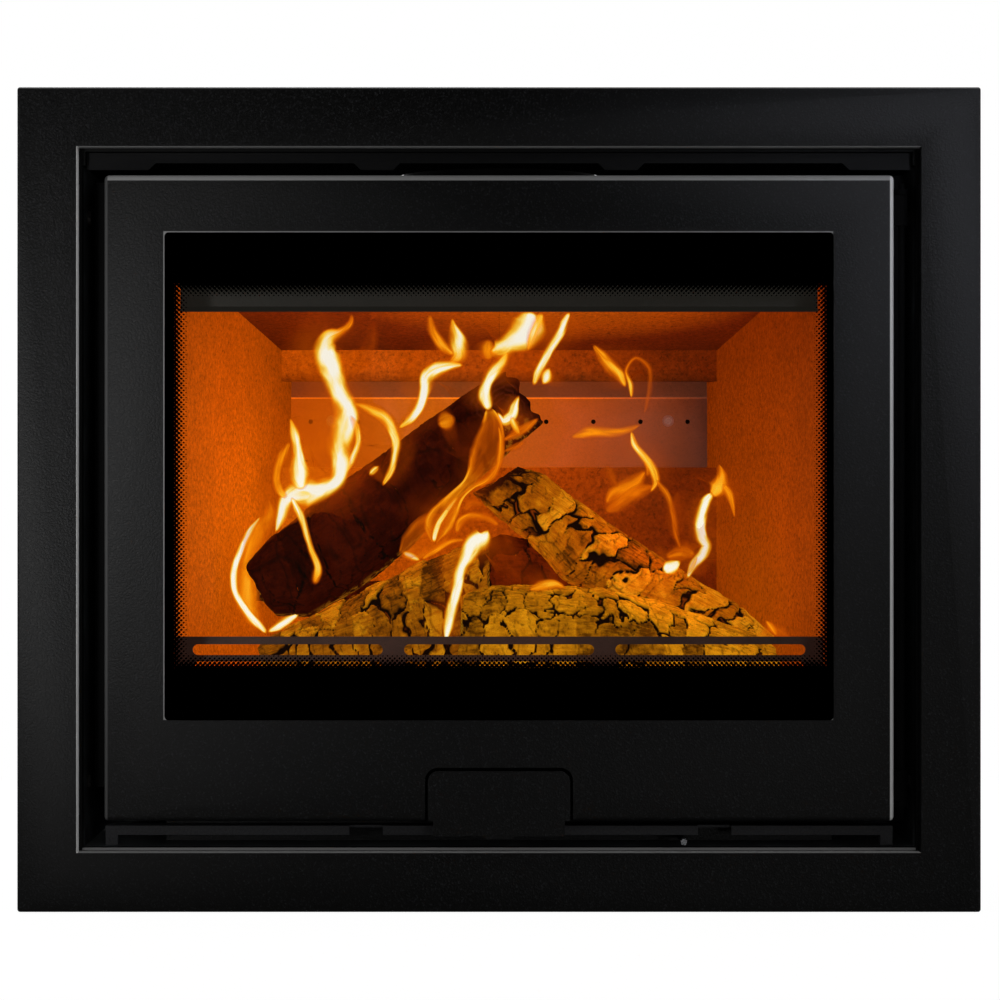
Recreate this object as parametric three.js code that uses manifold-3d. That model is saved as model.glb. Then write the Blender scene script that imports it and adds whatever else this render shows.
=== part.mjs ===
// A landscape inset wood stove: a convection casing with a four-sided surround, a brick-lined firebox,
// a glazed door on a full-height hinge rod, a flap handle with a hook, an air slide and a fire laid in it.
// Millimetres, +Z up, +X to the right, +Y to the back. The origin is the centre of the casing's underside.
import * as THREE from 'three';
import { mergeVertices } from 'three/addons/utils/BufferGeometryUtils.js';
import Module from 'manifold-3d';

const wasm = await Module();
wasm.setup();

// Driving dimensions. Depths named ...Depth or ...Back are measured back from the surround's front face.
const seat = 0.3; // gap left between pieces that seat on each other
const runningGap = 0.3; // radial gap round a pin that something turns on

// surround
const openingWidth = 609;
const openingHeight = 509;
const surroundBorder = 43;
const surroundPlate = 3;
const surroundReturn = 12; // how far the outer edge folds back to the wall
const returnSheet = 2;
const surroundEdgeRound = 1.5;
const fixingFlangeLength = 62;
const fixingFlangeInset = 26;

// casing
const casingDepth = 350;
const casingSheet = 2;
const casingFold = 12;
const outletStripBack = 18;
const outletStripSheet = 2;
const outletStripHeight = 12.6;
const outletNotchHeight = 4.9;
const outletNotchWidth = 144;
const outletNotchPitch = 177.5;
const outletNotchSlope = 5;

// casing screws
const screwHeadRadius = 5;
const screwHeadHeight = 2.6;
const screwShankRadius = 2.4;
const screwBack = 45;
const screwFromEnd = 47;

// door
const doorSideGap = 19; // between the door and the opening on each side
const doorTopGap = 20.2;
const doorBottom = 21.8;
const doorWidth = openingWidth - 2 * doorSideGap;
const doorHeight = openingHeight - doorBottom - doorTopGap;
const doorBack = 6;
const doorPanDepth = 24;
const doorSheet = 2.5;
const doorEdgeRound = 3;
const windowSideBorder = 43.5; // painted face beside the window
const windowTopBorder = 41.3;
const windowAboveDoorBottom = 72.7;
const windowWidth = doorWidth - 2 * windowSideBorder;
const windowHeight = doorHeight - windowAboveDoorBottom - windowTopBorder;
const windowCornerRadius = 3;
const glassThickness = 4;
const glassOverlap = 13;
const gasketThickness = 1.7;
const gasketWidth = 10;
const clampWidth = 11;
const clampSheet = 2;
const clampReach = 190; // half the length of each glass clamp
const innerFrameSheet = 2;
const innerFrameOverlap = 10; // how far the inner frame's opening stands outside the window
const innerFrameReturn = 10;
const ropeWidth = 10;
const ropeOutsideOpening = 12; // from the firebox opening to the rope's centre line

// hinge
const hingeRodRadius = 2.5;
const hingeRodFromDoor = 6; // from the door's right edge to the rod's centre line
const hingeRodBack = 12;
const hingeRodInset = 6; // rod ends below the door's top and above its foot
const knuckleRadius = 4.5;
const knuckleHeight = 22;
const bracketSheet = 4;
const bracketFromEnd = 14;

// flap handle
const flapWidth = 103;
const flapHeight = 36; // from the door's foot to the flap's top edge
const flapSheet = 3;
const flapSideGap = 2;
const flapTopGap = 2.6;
const flapCornerRadius = 7.5;
const lipWidth = 95;
const lipDrop = 11; // how far the lip hangs below the door's foot
const lipNubWidth = 24;
const lipNubDrop = 2;
const flapPinRadius = 2.5;
const flapPinBelowTop = 7.8;
const flapPinBehindFace = 8;
const flapEarSheet = 3;
const flapEarInset = 6;
const flapEarDrop = 12; // how far the ears run down the flap below the pin
const flapEarNose = 5; // metal round the pin
const pinEarTip = 6; // half the height of the frame's ears at the skin
const pinEarFoot = 9; // and at the inner frame
const lipCurlDepth = 9;
const lipCurlEdge = 2;
const hookLegSheet = 3;
const hookLegRise = 8;
const hookHeel = 2;
const hookWidth = 12;
const hookArmHeight = 4;
const hookBeakHeight = 2.6;
const hookBeakLength = 4;
const keeperWidth = 30;
const keeperSheet = 3;
const keeperDrop = 10; // how far the keeper hangs below the front plate

// firebox
const plateSheet = 4;
const frontPlateBack = 34;
const frontPlateBesideDoor = 10;
const frontPlateHalfWidth = doorWidth / 2 + frontPlateBesideDoor;
const frontPlateBottom = 44;
const frontPlateBelowDoorTop = 2.8;
const frontPlateTop = doorBottom + doorHeight - frontPlateBelowDoorTop;
const boxOpeningBesideWindow = 4;
const boxOpeningHalfWidth = windowWidth / 2 + boxOpeningBesideWindow;
const boxOpeningAboveSill = 5.5; // from the window's lower edge to the opening's
const boxOpeningBottom = doorBottom + windowAboveDoorBottom + boxOpeningAboveSill;
const boxOpeningTopBorder = 30;
const boxOpeningTop = frontPlateTop - boxOpeningTopBorder;
const rearBrickBack = 290;
const rearBrickInset = 70; // narrower than the opening on each side
const rearBrickHalfWidth = boxOpeningHalfWidth - rearBrickInset;
const sideSplay = 14.93; // degrees that each side brick splays from front to back
const brick = 30;
const hearthAboveOpening = 6.7;
const hearthTop = boxOpeningBottom + hearthAboveOpening;
const roofBelowPlate = 2;
const roofTop = frontPlateTop - roofBelowPlate;
const baffleThickness = 25;
const baffleSlope = 13.96; // degrees
const baffleBelowRoof = 108.7;
const baffleRearHeight = roofTop - baffleBelowRoof; // underside where it meets the rear brick's face
const baffleFrontBack = 112;
const airPlateBelowBaffle = 25.8;
const airPlateTop = baffleRearHeight - airPlateBelowBaffle;
const airPlateHeight = 69.1;
const airPlateBottom = airPlateTop - airPlateHeight;
const airPlateFoldHeight = 13.5; // the sloping strip along its top
const airPlateFold = airPlateTop - airPlateFoldHeight;
const lowerBrickShare = 0.5694; // of the height from the hearth to the air plate
const lowerBrickTop = hearthTop + (airPlateBottom - hearthTop) * lowerBrickShare;
const airPlateProud = 6;
const airPlateSheet = 2;
const airHoleRadius = 2;
const airHoleBelowTop = 32.5;
const airHoleHeight = airPlateTop - airHoleBelowTop;
const airHoleCount = 9;
const airHoleMargin = 24; // from the outer holes to the plate's ends
const airHolePitch = (2 * (rearBrickHalfWidth - airHoleMargin)) / (airHoleCount - 1);
const airPlateScrewInset = 40; // from the screw holes to the plate's ends
const airPlateScrewSide = rearBrickHalfWidth - airPlateScrewInset;
const airPlateScrewHole = 2.8;
const airWashDrop = 63.3;
const airWashBottom = boxOpeningTop - airWashDrop;
const airWashLip = 4; // how far its lower edge turns towards the glass
const airWashBack = 57;
const airWashSheet = 2.5;
const airWashSideGap = 3;

// log guard
const guardBack = 50;
const guardHeight = 46.6;
const guardTop = hearthTop + guardHeight;
const guardSheet = 2.5;
const guardFoot = 20;
const guardSideGap = 1;
const guardSlotHeight = 8;
const guardSlotSpread = 0.6325; // pitch as a share of the firebox opening's half width
const guardSlotPitch = boxOpeningHalfWidth * guardSlotSpread;
const guardSlotBar = 15.6; // metal between two slots
const guardSlotLength = guardSlotPitch - guardSlotBar;
const guardSlotFromTop = 9.6; // from the guard's top to the first row's middle
const guardRowPitch = 12.6;
const guardRows = 2;

// flue and air
const flueRadius = 75;
const flueWall = 3;
const flueAboveRoof = 61;
const flueTop = roofTop + flueAboveRoof;
const flueBack = 214;
const flueFlangeWidth = 20;
const flueFlangeSheet = 4;
const flueCasingGap = 5;
const inletRadius = 30;
const inletWall = 2;
const inletLength = 40; // how far it stands out of the casing's back
const inletFlangeWidth = 6; // round the tube, inside the casing's back
const inletHeight = 37;
const airBoxBack = 62;
const airBoxBackGap = 4; // to the flange of the air spigot
const airBoxSheet = 2;
const airSlotWidth = 28;
const airSlotHeight = 22;
const airSlotPitch = 60;
const airSlotCount = 3;
const airSlotMiddle = 36; // height of the slots' middle
const slideSheet = 2;
const slideHeight = 42;
const slideEndMargin = 22; // slide metal beyond its outer slots
const slideMiddle = 150; // where along X the slots lie
const slideGuideSheet = 2;
const slideGuideLip = 5;
const slideTravel = 30;
const leverRadius = 2;
const leverHeight = 6.7;
const leverSide = 133.7;
const leverTipBack = 15;
const leverTipLength = 9;
const leverTipRadius = 2.3;

// lower rail
const railBack = 27;
const railSheet = 2;
const railBottom = 9.6;
const railTop = 16.5;
const railBesideDoor = 1.5;
const railHalfWidth = doorWidth / 2 + railBesideDoor;
const railShelfGap = 3; // from the rail's shelf to the lever's stem
const railLegWidth = 9;
const railNotchWidth = 24.4;
const railNotchSides = [-96.9, 157.2]; // middles of the two wide notches in its front edge

const casingWidth = openingWidth - 2 * seat;
const casingHeight = openingHeight - 2 * seat;
const frontFace = -casingDepth / 2 - surroundReturn;
const wallLine = -casingDepth / 2;
const casingRear = casingDepth / 2;
const doorTop = doorBottom + doorHeight;
const windowBottom = doorBottom + windowAboveDoorBottom;
const windowTop = windowBottom + windowHeight;
const floorPlateTop = hearthTop - brick - seat;
const floorPlateBottom = floorPlateTop - plateSheet;
const roofBottom = roofTop - plateSheet;
const boxRearBack = rearBrickBack + brick;

// Place on Y of a depth behind the surround's front face.
const behind = (depth) => frontFace + depth;
// Half the width between the side bricks' faces at a depth.
const sideFace = (depth) =>
  rearBrickHalfWidth + (rearBrickBack - depth) * Math.tan(THREE.MathUtils.degToRad(sideSplay));
// Height of the baffle's underside at a depth.
const baffleUnder = (depth) =>
  baffleRearHeight + (rearBrickBack - depth) * Math.tan(THREE.MathUtils.degToRad(baffleSlope));

// ---- solids ----

function solidOf(geometry) {
  geometry.deleteAttribute('normal');
  geometry.deleteAttribute('uv');
  const merged = mergeVertices(geometry, 1e-4);
  const vertProperties = new Float32Array(merged.attributes.position.array);
  const triVerts = new Uint32Array(merged.index.array);
  return new wasm.Manifold(new wasm.Mesh({ numProp: 3, vertProperties, triVerts }));
}

function geometryOf(solid) {
  const mesh = solid.getMesh();
  const geometry = new THREE.BufferGeometry();
  geometry.setAttribute('position', new THREE.BufferAttribute(new Float32Array(mesh.vertProperties), 3));
  geometry.setIndex(new THREE.BufferAttribute(new Uint32Array(mesh.triVerts), 1));
  geometry.computeVertexNormals();
  return geometry;
}

function box([x0, x1], [y0, y1], [z0, z1]) {
  const geometry = new THREE.BoxGeometry(x1 - x0, y1 - y0, z1 - z0);
  geometry.translate((x0 + x1) / 2, (y0 + y1) / 2, (z0 + z1) / 2);
  return solidOf(geometry);
}

function outline(points) {
  return new THREE.Shape(points.map(([a, b]) => new THREE.Vector2(a, b)));
}

function roundedOutline(x0, x1, z0, z1, radius) {
  const shape = new THREE.Shape();
  shape.moveTo(x0 + radius, z0);
  shape.lineTo(x1 - radius, z0);
  shape.absarc(x1 - radius, z0 + radius, radius, -Math.PI / 2, 0);
  shape.lineTo(x1, z1 - radius);
  shape.absarc(x1 - radius, z1 - radius, radius, 0, Math.PI / 2);
  shape.lineTo(x0 + radius, z1);
  shape.absarc(x0 + radius, z1 - radius, radius, Math.PI / 2, Math.PI);
  shape.lineTo(x0, z0 + radius);
  shape.absarc(x0 + radius, z0 + radius, radius, Math.PI, Math.PI * 1.5);
  return shape;
}

// An outline in X and Z carried from y0 back to y1.
function facing(shape, y0, y1, curveSegments = 4) {
  const geometry = new THREE.ExtrudeGeometry(shape, { depth: y1 - y0, bevelEnabled: false, curveSegments });
  geometry.rotateX(Math.PI / 2);
  geometry.translate(0, y1, 0);
  return solidOf(geometry);
}

// The same with its front and back edges rounded.
function facingRounded(shape, y0, y1, radius, curveSegments = 3) {
  const geometry = new THREE.ExtrudeGeometry(shape, {
    depth: y1 - y0 - 2 * radius,
    bevelEnabled: true,
    bevelThickness: radius,
    bevelSize: radius,
    bevelOffset: -radius,
    bevelSegments: 3,
    curveSegments,
  });
  geometry.rotateX(Math.PI / 2);
  geometry.translate(0, y1 - radius, 0);
  return solidOf(geometry);
}

// An outline in X and Y carried from z0 up to z1.
function plan(shape, z0, z1, curveSegments = 4) {
  const geometry = new THREE.ExtrudeGeometry(shape, { depth: z1 - z0, bevelEnabled: false, curveSegments });
  geometry.translate(0, 0, z0);
  return solidOf(geometry);
}

// An outline in Y and Z carried from x0 to x1.
function sideways(shape, x0, x1, curveSegments = 4) {
  const geometry = new THREE.ExtrudeGeometry(shape, { depth: x1 - x0, bevelEnabled: false, curveSegments });
  const turn = new THREE.Matrix4().makeBasis(
    new THREE.Vector3(0, 1, 0),
    new THREE.Vector3(0, 0, 1),
    new THREE.Vector3(1, 0, 0),
  );
  geometry.applyMatrix4(turn);
  geometry.translate(x0, 0, 0);
  return solidOf(geometry);
}

const circle = (a, b, radius) => new THREE.Shape().absarc(a, b, radius, 0, Math.PI * 2);
const rodAlongX = (y, z, radius, x0, x1, sides = 16) => sideways(circle(y, z, radius), x0, x1, sides / 2);
const rodAlongY = (x, z, radius, y0, y1, sides = 16) => facing(circle(x, z, radius), y0, y1, sides / 2);
const rodAlongZ = (x, y, radius, z0, z1, sides = 16) => plan(circle(x, y, radius), z0, z1, sides / 2);
const cut = (solid, ...others) => others.reduce((rest, other) => rest.subtract(other), solid);
const join = (solid, ...others) => others.reduce((sum, other) => sum.add(other), solid);

// ---- materials ----

const finish = (color, roughness, metalness) => new THREE.MeshStandardMaterial({ color, roughness, metalness });
const blackPaint = () => finish(0x232527, 0.62, 0.2);
const casingPaint = () => finish(0x161718, 0.7, 0.2);
const bareSteel = () => finish(0x8d8f90, 0.35, 1.0);
const firedSteel = () => finish(0x4a4038, 0.7, 0.6);
const fireBrick = () => finish(0xc98446, 0.95, 0.0);
const ceramicGlass = () => finish(0x1c1a18, 0.08, 0.0);
const glassFibre = () => finish(0x3a3a38, 0.95, 0.0);
const charredWood = () => finish(0x2a1b12, 0.95, 0.0);
const burningWood = () => finish(0xa8762c, 0.9, 0.0);

const stove = new THREE.Group();

function add(name, material, solid) {
  const mesh = new THREE.Mesh(geometryOf(solid), material);
  mesh.name = name;
  stove.add(mesh);
}

// ---- surround and casing ----

const halfOpening = openingWidth / 2;
const openingBottom = -seat;
const openingTop = openingBottom + openingHeight;
const casingHalf = casingWidth / 2;
const casingInner = casingHalf - casingSheet;
const screwHeights = [screwFromEnd, casingHeight - screwFromEnd];

function surroundFrame() {
  const outer = [
    -halfOpening - surroundBorder,
    halfOpening + surroundBorder,
    openingBottom - surroundBorder,
    openingTop + surroundBorder,
  ];
  const face = facingRounded(
    roundedOutline(...outer, surroundEdgeRound + 0.2),
    frontFace,
    wallLine + surroundEdgeRound,
    surroundEdgeRound,
    1,
  );
  const behindWall = box([outer[0], outer[1]], [wallLine, wallLine + 10], [outer[2], outer[3]]);
  const hollow = cut(
    box(
      [outer[0] + returnSheet, outer[1] - returnSheet],
      [frontFace + surroundPlate, wallLine],
      [outer[2] + returnSheet, outer[3] - returnSheet],
    ),
    box(
      [-halfOpening - returnSheet, halfOpening + returnSheet],
      [frontFace, wallLine],
      [openingBottom - returnSheet, openingTop + returnSheet],
    ),
  );
  const opening = box([-halfOpening, halfOpening], [frontFace - 5, wallLine + 5], [openingBottom, openingTop]);
  let frame = cut(face, behindWall, hollow, opening);
  for (const side of [-1, 1]) {
    const edges = [side * halfOpening, side * (halfOpening + returnSheet)].sort((a, b) => a - b);
    const flange = box(
      edges,
      [frontFace + surroundPlate / 2, behind(fixingFlangeLength)],
      [openingBottom + fixingFlangeInset, openingTop - fixingFlangeInset],
    );
    const holes = screwHeights.map((height) =>
      rodAlongX(behind(screwBack), height, screwShankRadius + seat, edges[0] - 1, edges[1] + 1, 12),
    );
    frame = cut(join(frame, flange), ...holes);
  }
  return frame;
}

function casingSide(side) {
  const span = [side * casingHalf, side * casingInner].sort((a, b) => a - b);
  const holes = screwHeights.map((height) =>
    rodAlongX(behind(screwBack), height, screwShankRadius + seat, span[0] - 1, span[1] + 1, 12),
  );
  return cut(box(span, [wallLine, casingRear], [0, casingHeight]), ...holes);
}

function casingTop() {
  const half = casingInner - seat;
  const rear = casingRear - casingSheet - seat;
  const sheet = box([-half, half], [wallLine, rear], [casingHeight - casingSheet, casingHeight]);
  const fold = (x0, x1) =>
    box([x0, x1], [wallLine, rear], [casingHeight - casingFold, casingHeight - casingSheet / 2]);
  const flue = rodAlongZ(0, behind(flueBack), flueRadius + flueCasingGap, roofTop, casingHeight + 5, 40);
  return cut(join(sheet, fold(-half, casingSheet - half), fold(half - casingSheet, half)), flue);
}

function casingBase() {
  const half = casingInner - seat;
  return box([-half, half], [wallLine, casingRear], [0, casingSheet]);
}

function casingBack() {
  const half = casingInner - seat;
  const sheet = box(
    [-half, half],
    [casingRear - casingSheet, casingRear],
    [casingSheet + seat, casingHeight],
  );
  const hole = rodAlongY(0, inletHeight, inletRadius + seat, casingRear - 10, casingRear + 10, 28);
  return cut(sheet, hole);
}

function outletStrip() {
  const half = casingInner - seat - casingSheet - seat;
  const top = casingHeight - casingSheet - seat;
  const bottom = top - outletStripHeight;
  const y0 = behind(outletStripBack);
  const sheet = join(
    box([-half, half], [y0, y0 + outletStripSheet], [bottom, top]),
    box([-half, half], [y0, y0 + casingFold], [top - outletStripSheet, top]),
  );
  const notches = [-1, 0, 1].map((index) => {
    const middle = index * outletNotchPitch;
    const reach = outletNotchWidth / 2;
    return facing(
      outline([
        [middle - reach - outletNotchSlope, bottom - 1],
        [middle + reach + outletNotchSlope, bottom - 1],
        [middle + reach + outletNotchSlope, bottom],
        [middle + reach, bottom + outletNotchHeight],
        [middle - reach, bottom + outletNotchHeight],
        [middle - reach - outletNotchSlope, bottom],
      ]),
      y0 - 5,
      y0 + outletStripSheet + 0.5,
    );
  });
  return cut(sheet, ...notches);
}

// A pan-head screw along X, its head inside the casing and its shank through casing and flange.
function frameScrew(side, height) {
  const headFoot = casingInner - seat;
  const ends = (a, b) => [side * a, side * b].sort((p, q) => p - q);
  const y = behind(screwBack);
  const head = rodAlongX(y, height, screwHeadRadius, ...ends(headFoot - screwHeadHeight, headFoot), 16);
  const tip = halfOpening + returnSheet + 3;
  const shank = rodAlongX(y, height, screwShankRadius, ...ends(headFoot - 1, tip), 12);
  const slot = box(
    ends(headFoot - screwHeadHeight - 1, headFoot - screwHeadHeight + 1.2),
    [y - screwHeadRadius, y + screwHeadRadius],
    [height - 0.6, height + 0.6],
  );
  return cut(join(head, shank), slot);
}

add('surround_frame', blackPaint(), surroundFrame());
add('casing_left_side', casingPaint(), casingSide(-1));
add('casing_right_side', casingPaint(), casingSide(1));
add('casing_top', casingPaint(), casingTop());
add('casing_base', casingPaint(), casingBase());
add('casing_back', casingPaint(), casingBack());
add('hot_air_outlet_strip', casingPaint(), outletStrip());
for (const [side, sideName] of [[-1, 'left'], [1, 'right']]) {
  for (const [height, levelName] of [[screwHeights[0], 'lower'], [screwHeights[1], 'upper']]) {
    add(`frame_screw_${sideName}_${levelName}`, bareSteel(), frameScrew(side, height));
  }
}

// ---- firebox ----

// A plan shape that follows the side bricks, between two depths and set out by a distance.
function taperedPlan(depth0, depth1, out) {
  return outline([
    [-sideFace(depth0) - out, behind(depth0)],
    [sideFace(depth0) + out, behind(depth0)],
    [sideFace(depth1) + out, behind(depth1)],
    [-sideFace(depth1) - out, behind(depth1)],
  ]);
}

// One side's slice of such a plan, between two distances out from the brick's face.
function sidePlan(side, depth0, depth1, from, to) {
  const points = [
    [side * (sideFace(depth0) + from), behind(depth0)],
    [side * (sideFace(depth0) + to), behind(depth0)],
    [side * (sideFace(depth1) + to), behind(depth1)],
    [side * (sideFace(depth1) + from), behind(depth1)],
  ];
  return outline(points);
}

const boxFront = frontPlateBack + plateSheet + seat;
const steelRear = boxRearBack + seat + plateSheet;
const wide = 2 * casingWidth;

// Everything below the baffle's slope, kept a seat clear of it.
function underBaffle() {
  return sideways(
    outline([
      [behind(0), 0],
      [behind(casingDepth), 0],
      [behind(casingDepth), baffleUnder(casingDepth) - seat],
      [behind(baffleFrontBack), baffleUnder(baffleFrontBack) - seat],
      [behind(0), baffleUnder(baffleFrontBack) - seat],
    ]),
    -wide / 2,
    wide / 2,
  );
}

function sideBrick(side) {
  const block = plan(sidePlan(side, boxFront, boxRearBack, 0, brick), floorPlateTop + seat, roofBottom);
  return block.intersect(underBaffle());
}

function rearBrick(bottom, top) {
  return plan(taperedPlan(rearBrickBack, boxRearBack, -seat), bottom, top).intersect(underBaffle());
}

function floorBrick(side) {
  const half = plan(taperedPlan(boxFront, boxRearBack, -seat), floorPlateTop + seat, hearthTop);
  const keep = box(
    [side * seat / 2, side * wide].sort((a, b) => a - b),
    [frontFace, casingRear],
    [0, roofTop],
  );
  return half.intersect(keep);
}

function baffleHalf(side) {
  const slab = sideways(
    outline([
      [behind(baffleFrontBack), baffleUnder(baffleFrontBack)],
      [behind(boxRearBack), baffleUnder(boxRearBack)],
      [behind(boxRearBack), baffleUnder(boxRearBack) + baffleThickness],
      [behind(baffleFrontBack), baffleUnder(baffleFrontBack) + baffleThickness],
    ]),
    ...[side * seat / 2, side * wide].sort((a, b) => a - b),
  );
  return slab.intersect(plan(taperedPlan(boxFront, boxRearBack, brick - seat), hearthTop, roofBottom));
}

function fireboxSideWall(side) {
  const inner = brick + seat;
  return plan(
    sidePlan(side, boxFront, steelRear, inner, inner + plateSheet),
    floorPlateTop + seat,
    roofBottom - seat,
  );
}

function fireboxBackWall() {
  return plan(taperedPlan(boxRearBack + seat, steelRear, brick), floorPlateTop + seat, roofBottom - seat);
}

function fireboxFloor() {
  return plan(taperedPlan(boxFront, steelRear, brick + seat + plateSheet), floorPlateBottom, floorPlateTop);
}

function fireboxRoof() {
  const sheet = plan(taperedPlan(boxFront, steelRear, brick + seat + plateSheet), roofBottom, roofTop);
  return cut(sheet, rodAlongZ(0, behind(flueBack), flueRadius - flueWall, roofBottom - 1, roofTop + 1, 40));
}

function fireboxFrontPlate() {
  const sheet = roundedOutline(-frontPlateHalfWidth, frontPlateHalfWidth, frontPlateBottom, frontPlateTop, 3);
  sheet.holes.push(
    roundedOutline(-boxOpeningHalfWidth, boxOpeningHalfWidth, boxOpeningBottom, boxOpeningTop, 8),
  );
  return facing(sheet, behind(frontPlateBack), behind(frontPlateBack + plateSheet), 3);
}

// A channel with its lips to the back, its face drilled in a row and folded back along its top.
function secondaryAirPlate() {
  const face = behind(rearBrickBack - airPlateProud);
  const rear = behind(boxRearBack);
  const t = airPlateSheet;
  const section = outline([
    [rear, airPlateBottom],
    [rear, airPlateBottom + t],
    [face + t, airPlateBottom + t],
    [face + t, airPlateFold],
    [behind(rearBrickBack) + t, airPlateTop - t],
    [rear, airPlateTop - t],
    [rear, airPlateTop],
    [behind(rearBrickBack), airPlateTop],
    [face, airPlateFold],
    [face, airPlateBottom],
  ]);
  const half = sideFace(boxRearBack) - seat;
  let plate = sideways(section, -half, half);
  for (let index = 0; index < airHoleCount; index += 1) {
    const x = (index - (airHoleCount - 1) / 2) * airHolePitch;
    plate = cut(plate, rodAlongY(x, airHoleHeight, airHoleRadius, face - 1, face + t + 1, 8));
  }
  for (const side of [-1, 1]) {
    const hole = rodAlongY(side * airPlateScrewSide, airHoleHeight, airPlateScrewHole, face - 1, face + t + 1, 8);
    plate = cut(plate, hole);
  }
  return plate;
}

function airWashDeflector() {
  const half = sideFace(airWashBack) - airWashSideGap;
  const top = boxOpeningTop - seat;
  const face = behind(airWashBack);
  const lip = airWashLip;
  const lipSkew = airWashSheet * Math.SQRT2;
  const section = outline([
    [behind(boxFront), top - airWashSheet],
    [face, top - airWashSheet],
    [face, airWashBottom + lip],
    [face - lip, airWashBottom],
    [face - lip + lipSkew, airWashBottom],
    [face + airWashSheet, airWashBottom + lip],
    [face + airWashSheet, top],
    [behind(boxFront), top],
  ]);
  return sideways(section, -half, half);
}

function logGuard() {
  const half = sideFace(guardBack) - guardSideGap;
  const y0 = behind(guardBack);
  const foot = hearthTop + seat;
  const section = outline([
    [y0, foot],
    [y0 + guardFoot, foot],
    [y0 + guardFoot, foot + guardSheet],
    [y0 + guardSheet, foot + guardSheet],
    [y0 + guardSheet, guardTop],
    [y0, guardTop],
  ]);
  let guard = sideways(section, -half, half);
  guard = guard.intersect(plan(taperedPlan(boxFront, boxRearBack, -guardSideGap), hearthTop, guardTop + 1));
  for (let row = 0; row < guardRows; row += 1) {
    const middle = guardTop - guardSlotFromTop - row * guardRowPitch;
    for (const column of [-1, 0, 1]) {
      const x = column * guardSlotPitch;
      const slot = roundedOutline(
        x - guardSlotLength / 2,
        x + guardSlotLength / 2,
        middle - guardSlotHeight / 2,
        middle + guardSlotHeight / 2,
        guardSlotHeight / 2 - 0.01,
      );
      guard = cut(guard, facing(slot, y0 - 1, y0 + guardSheet + 1, 3));
    }
  }
  return guard;
}

function flueCollar() {
  const foot = roofTop + seat;
  const profile = [
    [flueRadius - flueWall, foot],
    [flueRadius + flueFlangeWidth, foot],
    [flueRadius + flueFlangeWidth, foot + flueFlangeSheet],
    [flueRadius, foot + flueFlangeSheet],
    [flueRadius, flueTop],
    [flueRadius - flueWall, flueTop],
    [flueRadius - flueWall, foot],
  ];
  const geometry = new THREE.LatheGeometry(profile.map(([r, z]) => new THREE.Vector2(r, z)), 40);
  geometry.rotateX(Math.PI / 2);
  geometry.translate(0, behind(flueBack), 0);
  return solidOf(geometry);
}

add('firebox_front_plate', blackPaint(), fireboxFrontPlate());
add('firebox_left_wall', blackPaint(), fireboxSideWall(-1));
add('firebox_right_wall', blackPaint(), fireboxSideWall(1));
add('firebox_back_wall', blackPaint(), fireboxBackWall());
add('firebox_floor', blackPaint(), fireboxFloor());
add('firebox_roof', blackPaint(), fireboxRoof());
add('flue_collar', blackPaint(), flueCollar());
add('side_brick_left', fireBrick(), sideBrick(-1));
add('side_brick_right', fireBrick(), sideBrick(1));
add('floor_brick_left', fireBrick(), floorBrick(-1));
add('floor_brick_right', fireBrick(), floorBrick(1));
add('rear_brick_lower', fireBrick(), rearBrick(hearthTop + seat, lowerBrickTop));
add('rear_brick_upper', fireBrick(), rearBrick(lowerBrickTop + seat, airPlateBottom - seat));
add('rear_brick_top', fireBrick(), rearBrick(airPlateTop + seat, baffleUnder(rearBrickBack)));
add('baffle_left', fireBrick(), baffleHalf(-1));
add('baffle_right', fireBrick(), baffleHalf(1));
add('secondary_air_plate', firedSteel(), secondaryAirPlate());
add('airwash_deflector', firedSteel(), airWashDeflector());
add('log_guard', firedSteel(), logGuard());

// ---- air supply below the firebox ----

const airBoxTop = floorPlateBottom - seat;
const airBoxFoot = casingSheet + seat;
const airBoxRear = casingRear - casingSheet - seat - airBoxBackGap;
const airSlotMiddles = Array.from(
  { length: airSlotCount },
  (_, index) => slideMiddle + (index - (airSlotCount - 1) / 2) * airSlotPitch,
);

function airSlots(y0, y1) {
  return airSlotMiddles.map((x) =>
    box(
      [x - airSlotWidth / 2, x + airSlotWidth / 2],
      [y0, y1],
      [airSlotMiddle - airSlotHeight / 2, airSlotMiddle + airSlotHeight / 2],
    ),
  );
}

// The air box reaches past the slide's outer slot on the right, and as far on the left.
function airBox() {
  const t = airBoxSheet;
  const outerSlot = airSlotMiddles[airSlotCount - 1] + airSlotWidth / 2;
  const half = outerSlot + slideEndMargin;
  const outer = box([-half, half], [behind(airBoxBack), airBoxRear], [airBoxFoot, airBoxTop]);
  const inner = box([t - half, half - t], [behind(airBoxBack) + t, airBoxRear - t], [airBoxFoot + t, airBoxTop + 1]);
  const inlet = rodAlongY(0, inletHeight, inletRadius - inletWall, airBoxRear - 10, airBoxRear + 1, 28);
  return cut(outer, inner, inlet, ...airSlots(behind(airBoxBack) - 1, behind(airBoxBack) + t + 1));
}

// A flanged tube through the casing's back, its flange against the air box.
function airInletSpigot() {
  const flangeFront = airBoxRear + seat;
  const flangeBack = casingRear - casingSheet - seat;
  const tube = rodAlongY(0, inletHeight, inletRadius, flangeFront, casingRear + inletLength, 28);
  const flange = rodAlongY(0, inletHeight, inletRadius + inletFlangeWidth, flangeFront, flangeBack, 28)
    .intersect(box([-wide, wide], [flangeFront, flangeBack], [airBoxFoot, airBoxTop]));
  const bore = rodAlongY(
    0,
    inletHeight,
    inletRadius - inletWall,
    flangeFront - 1,
    casingRear + inletLength + 1,
    28,
  );
  return cut(join(tube, flange), bore);
}

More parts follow.
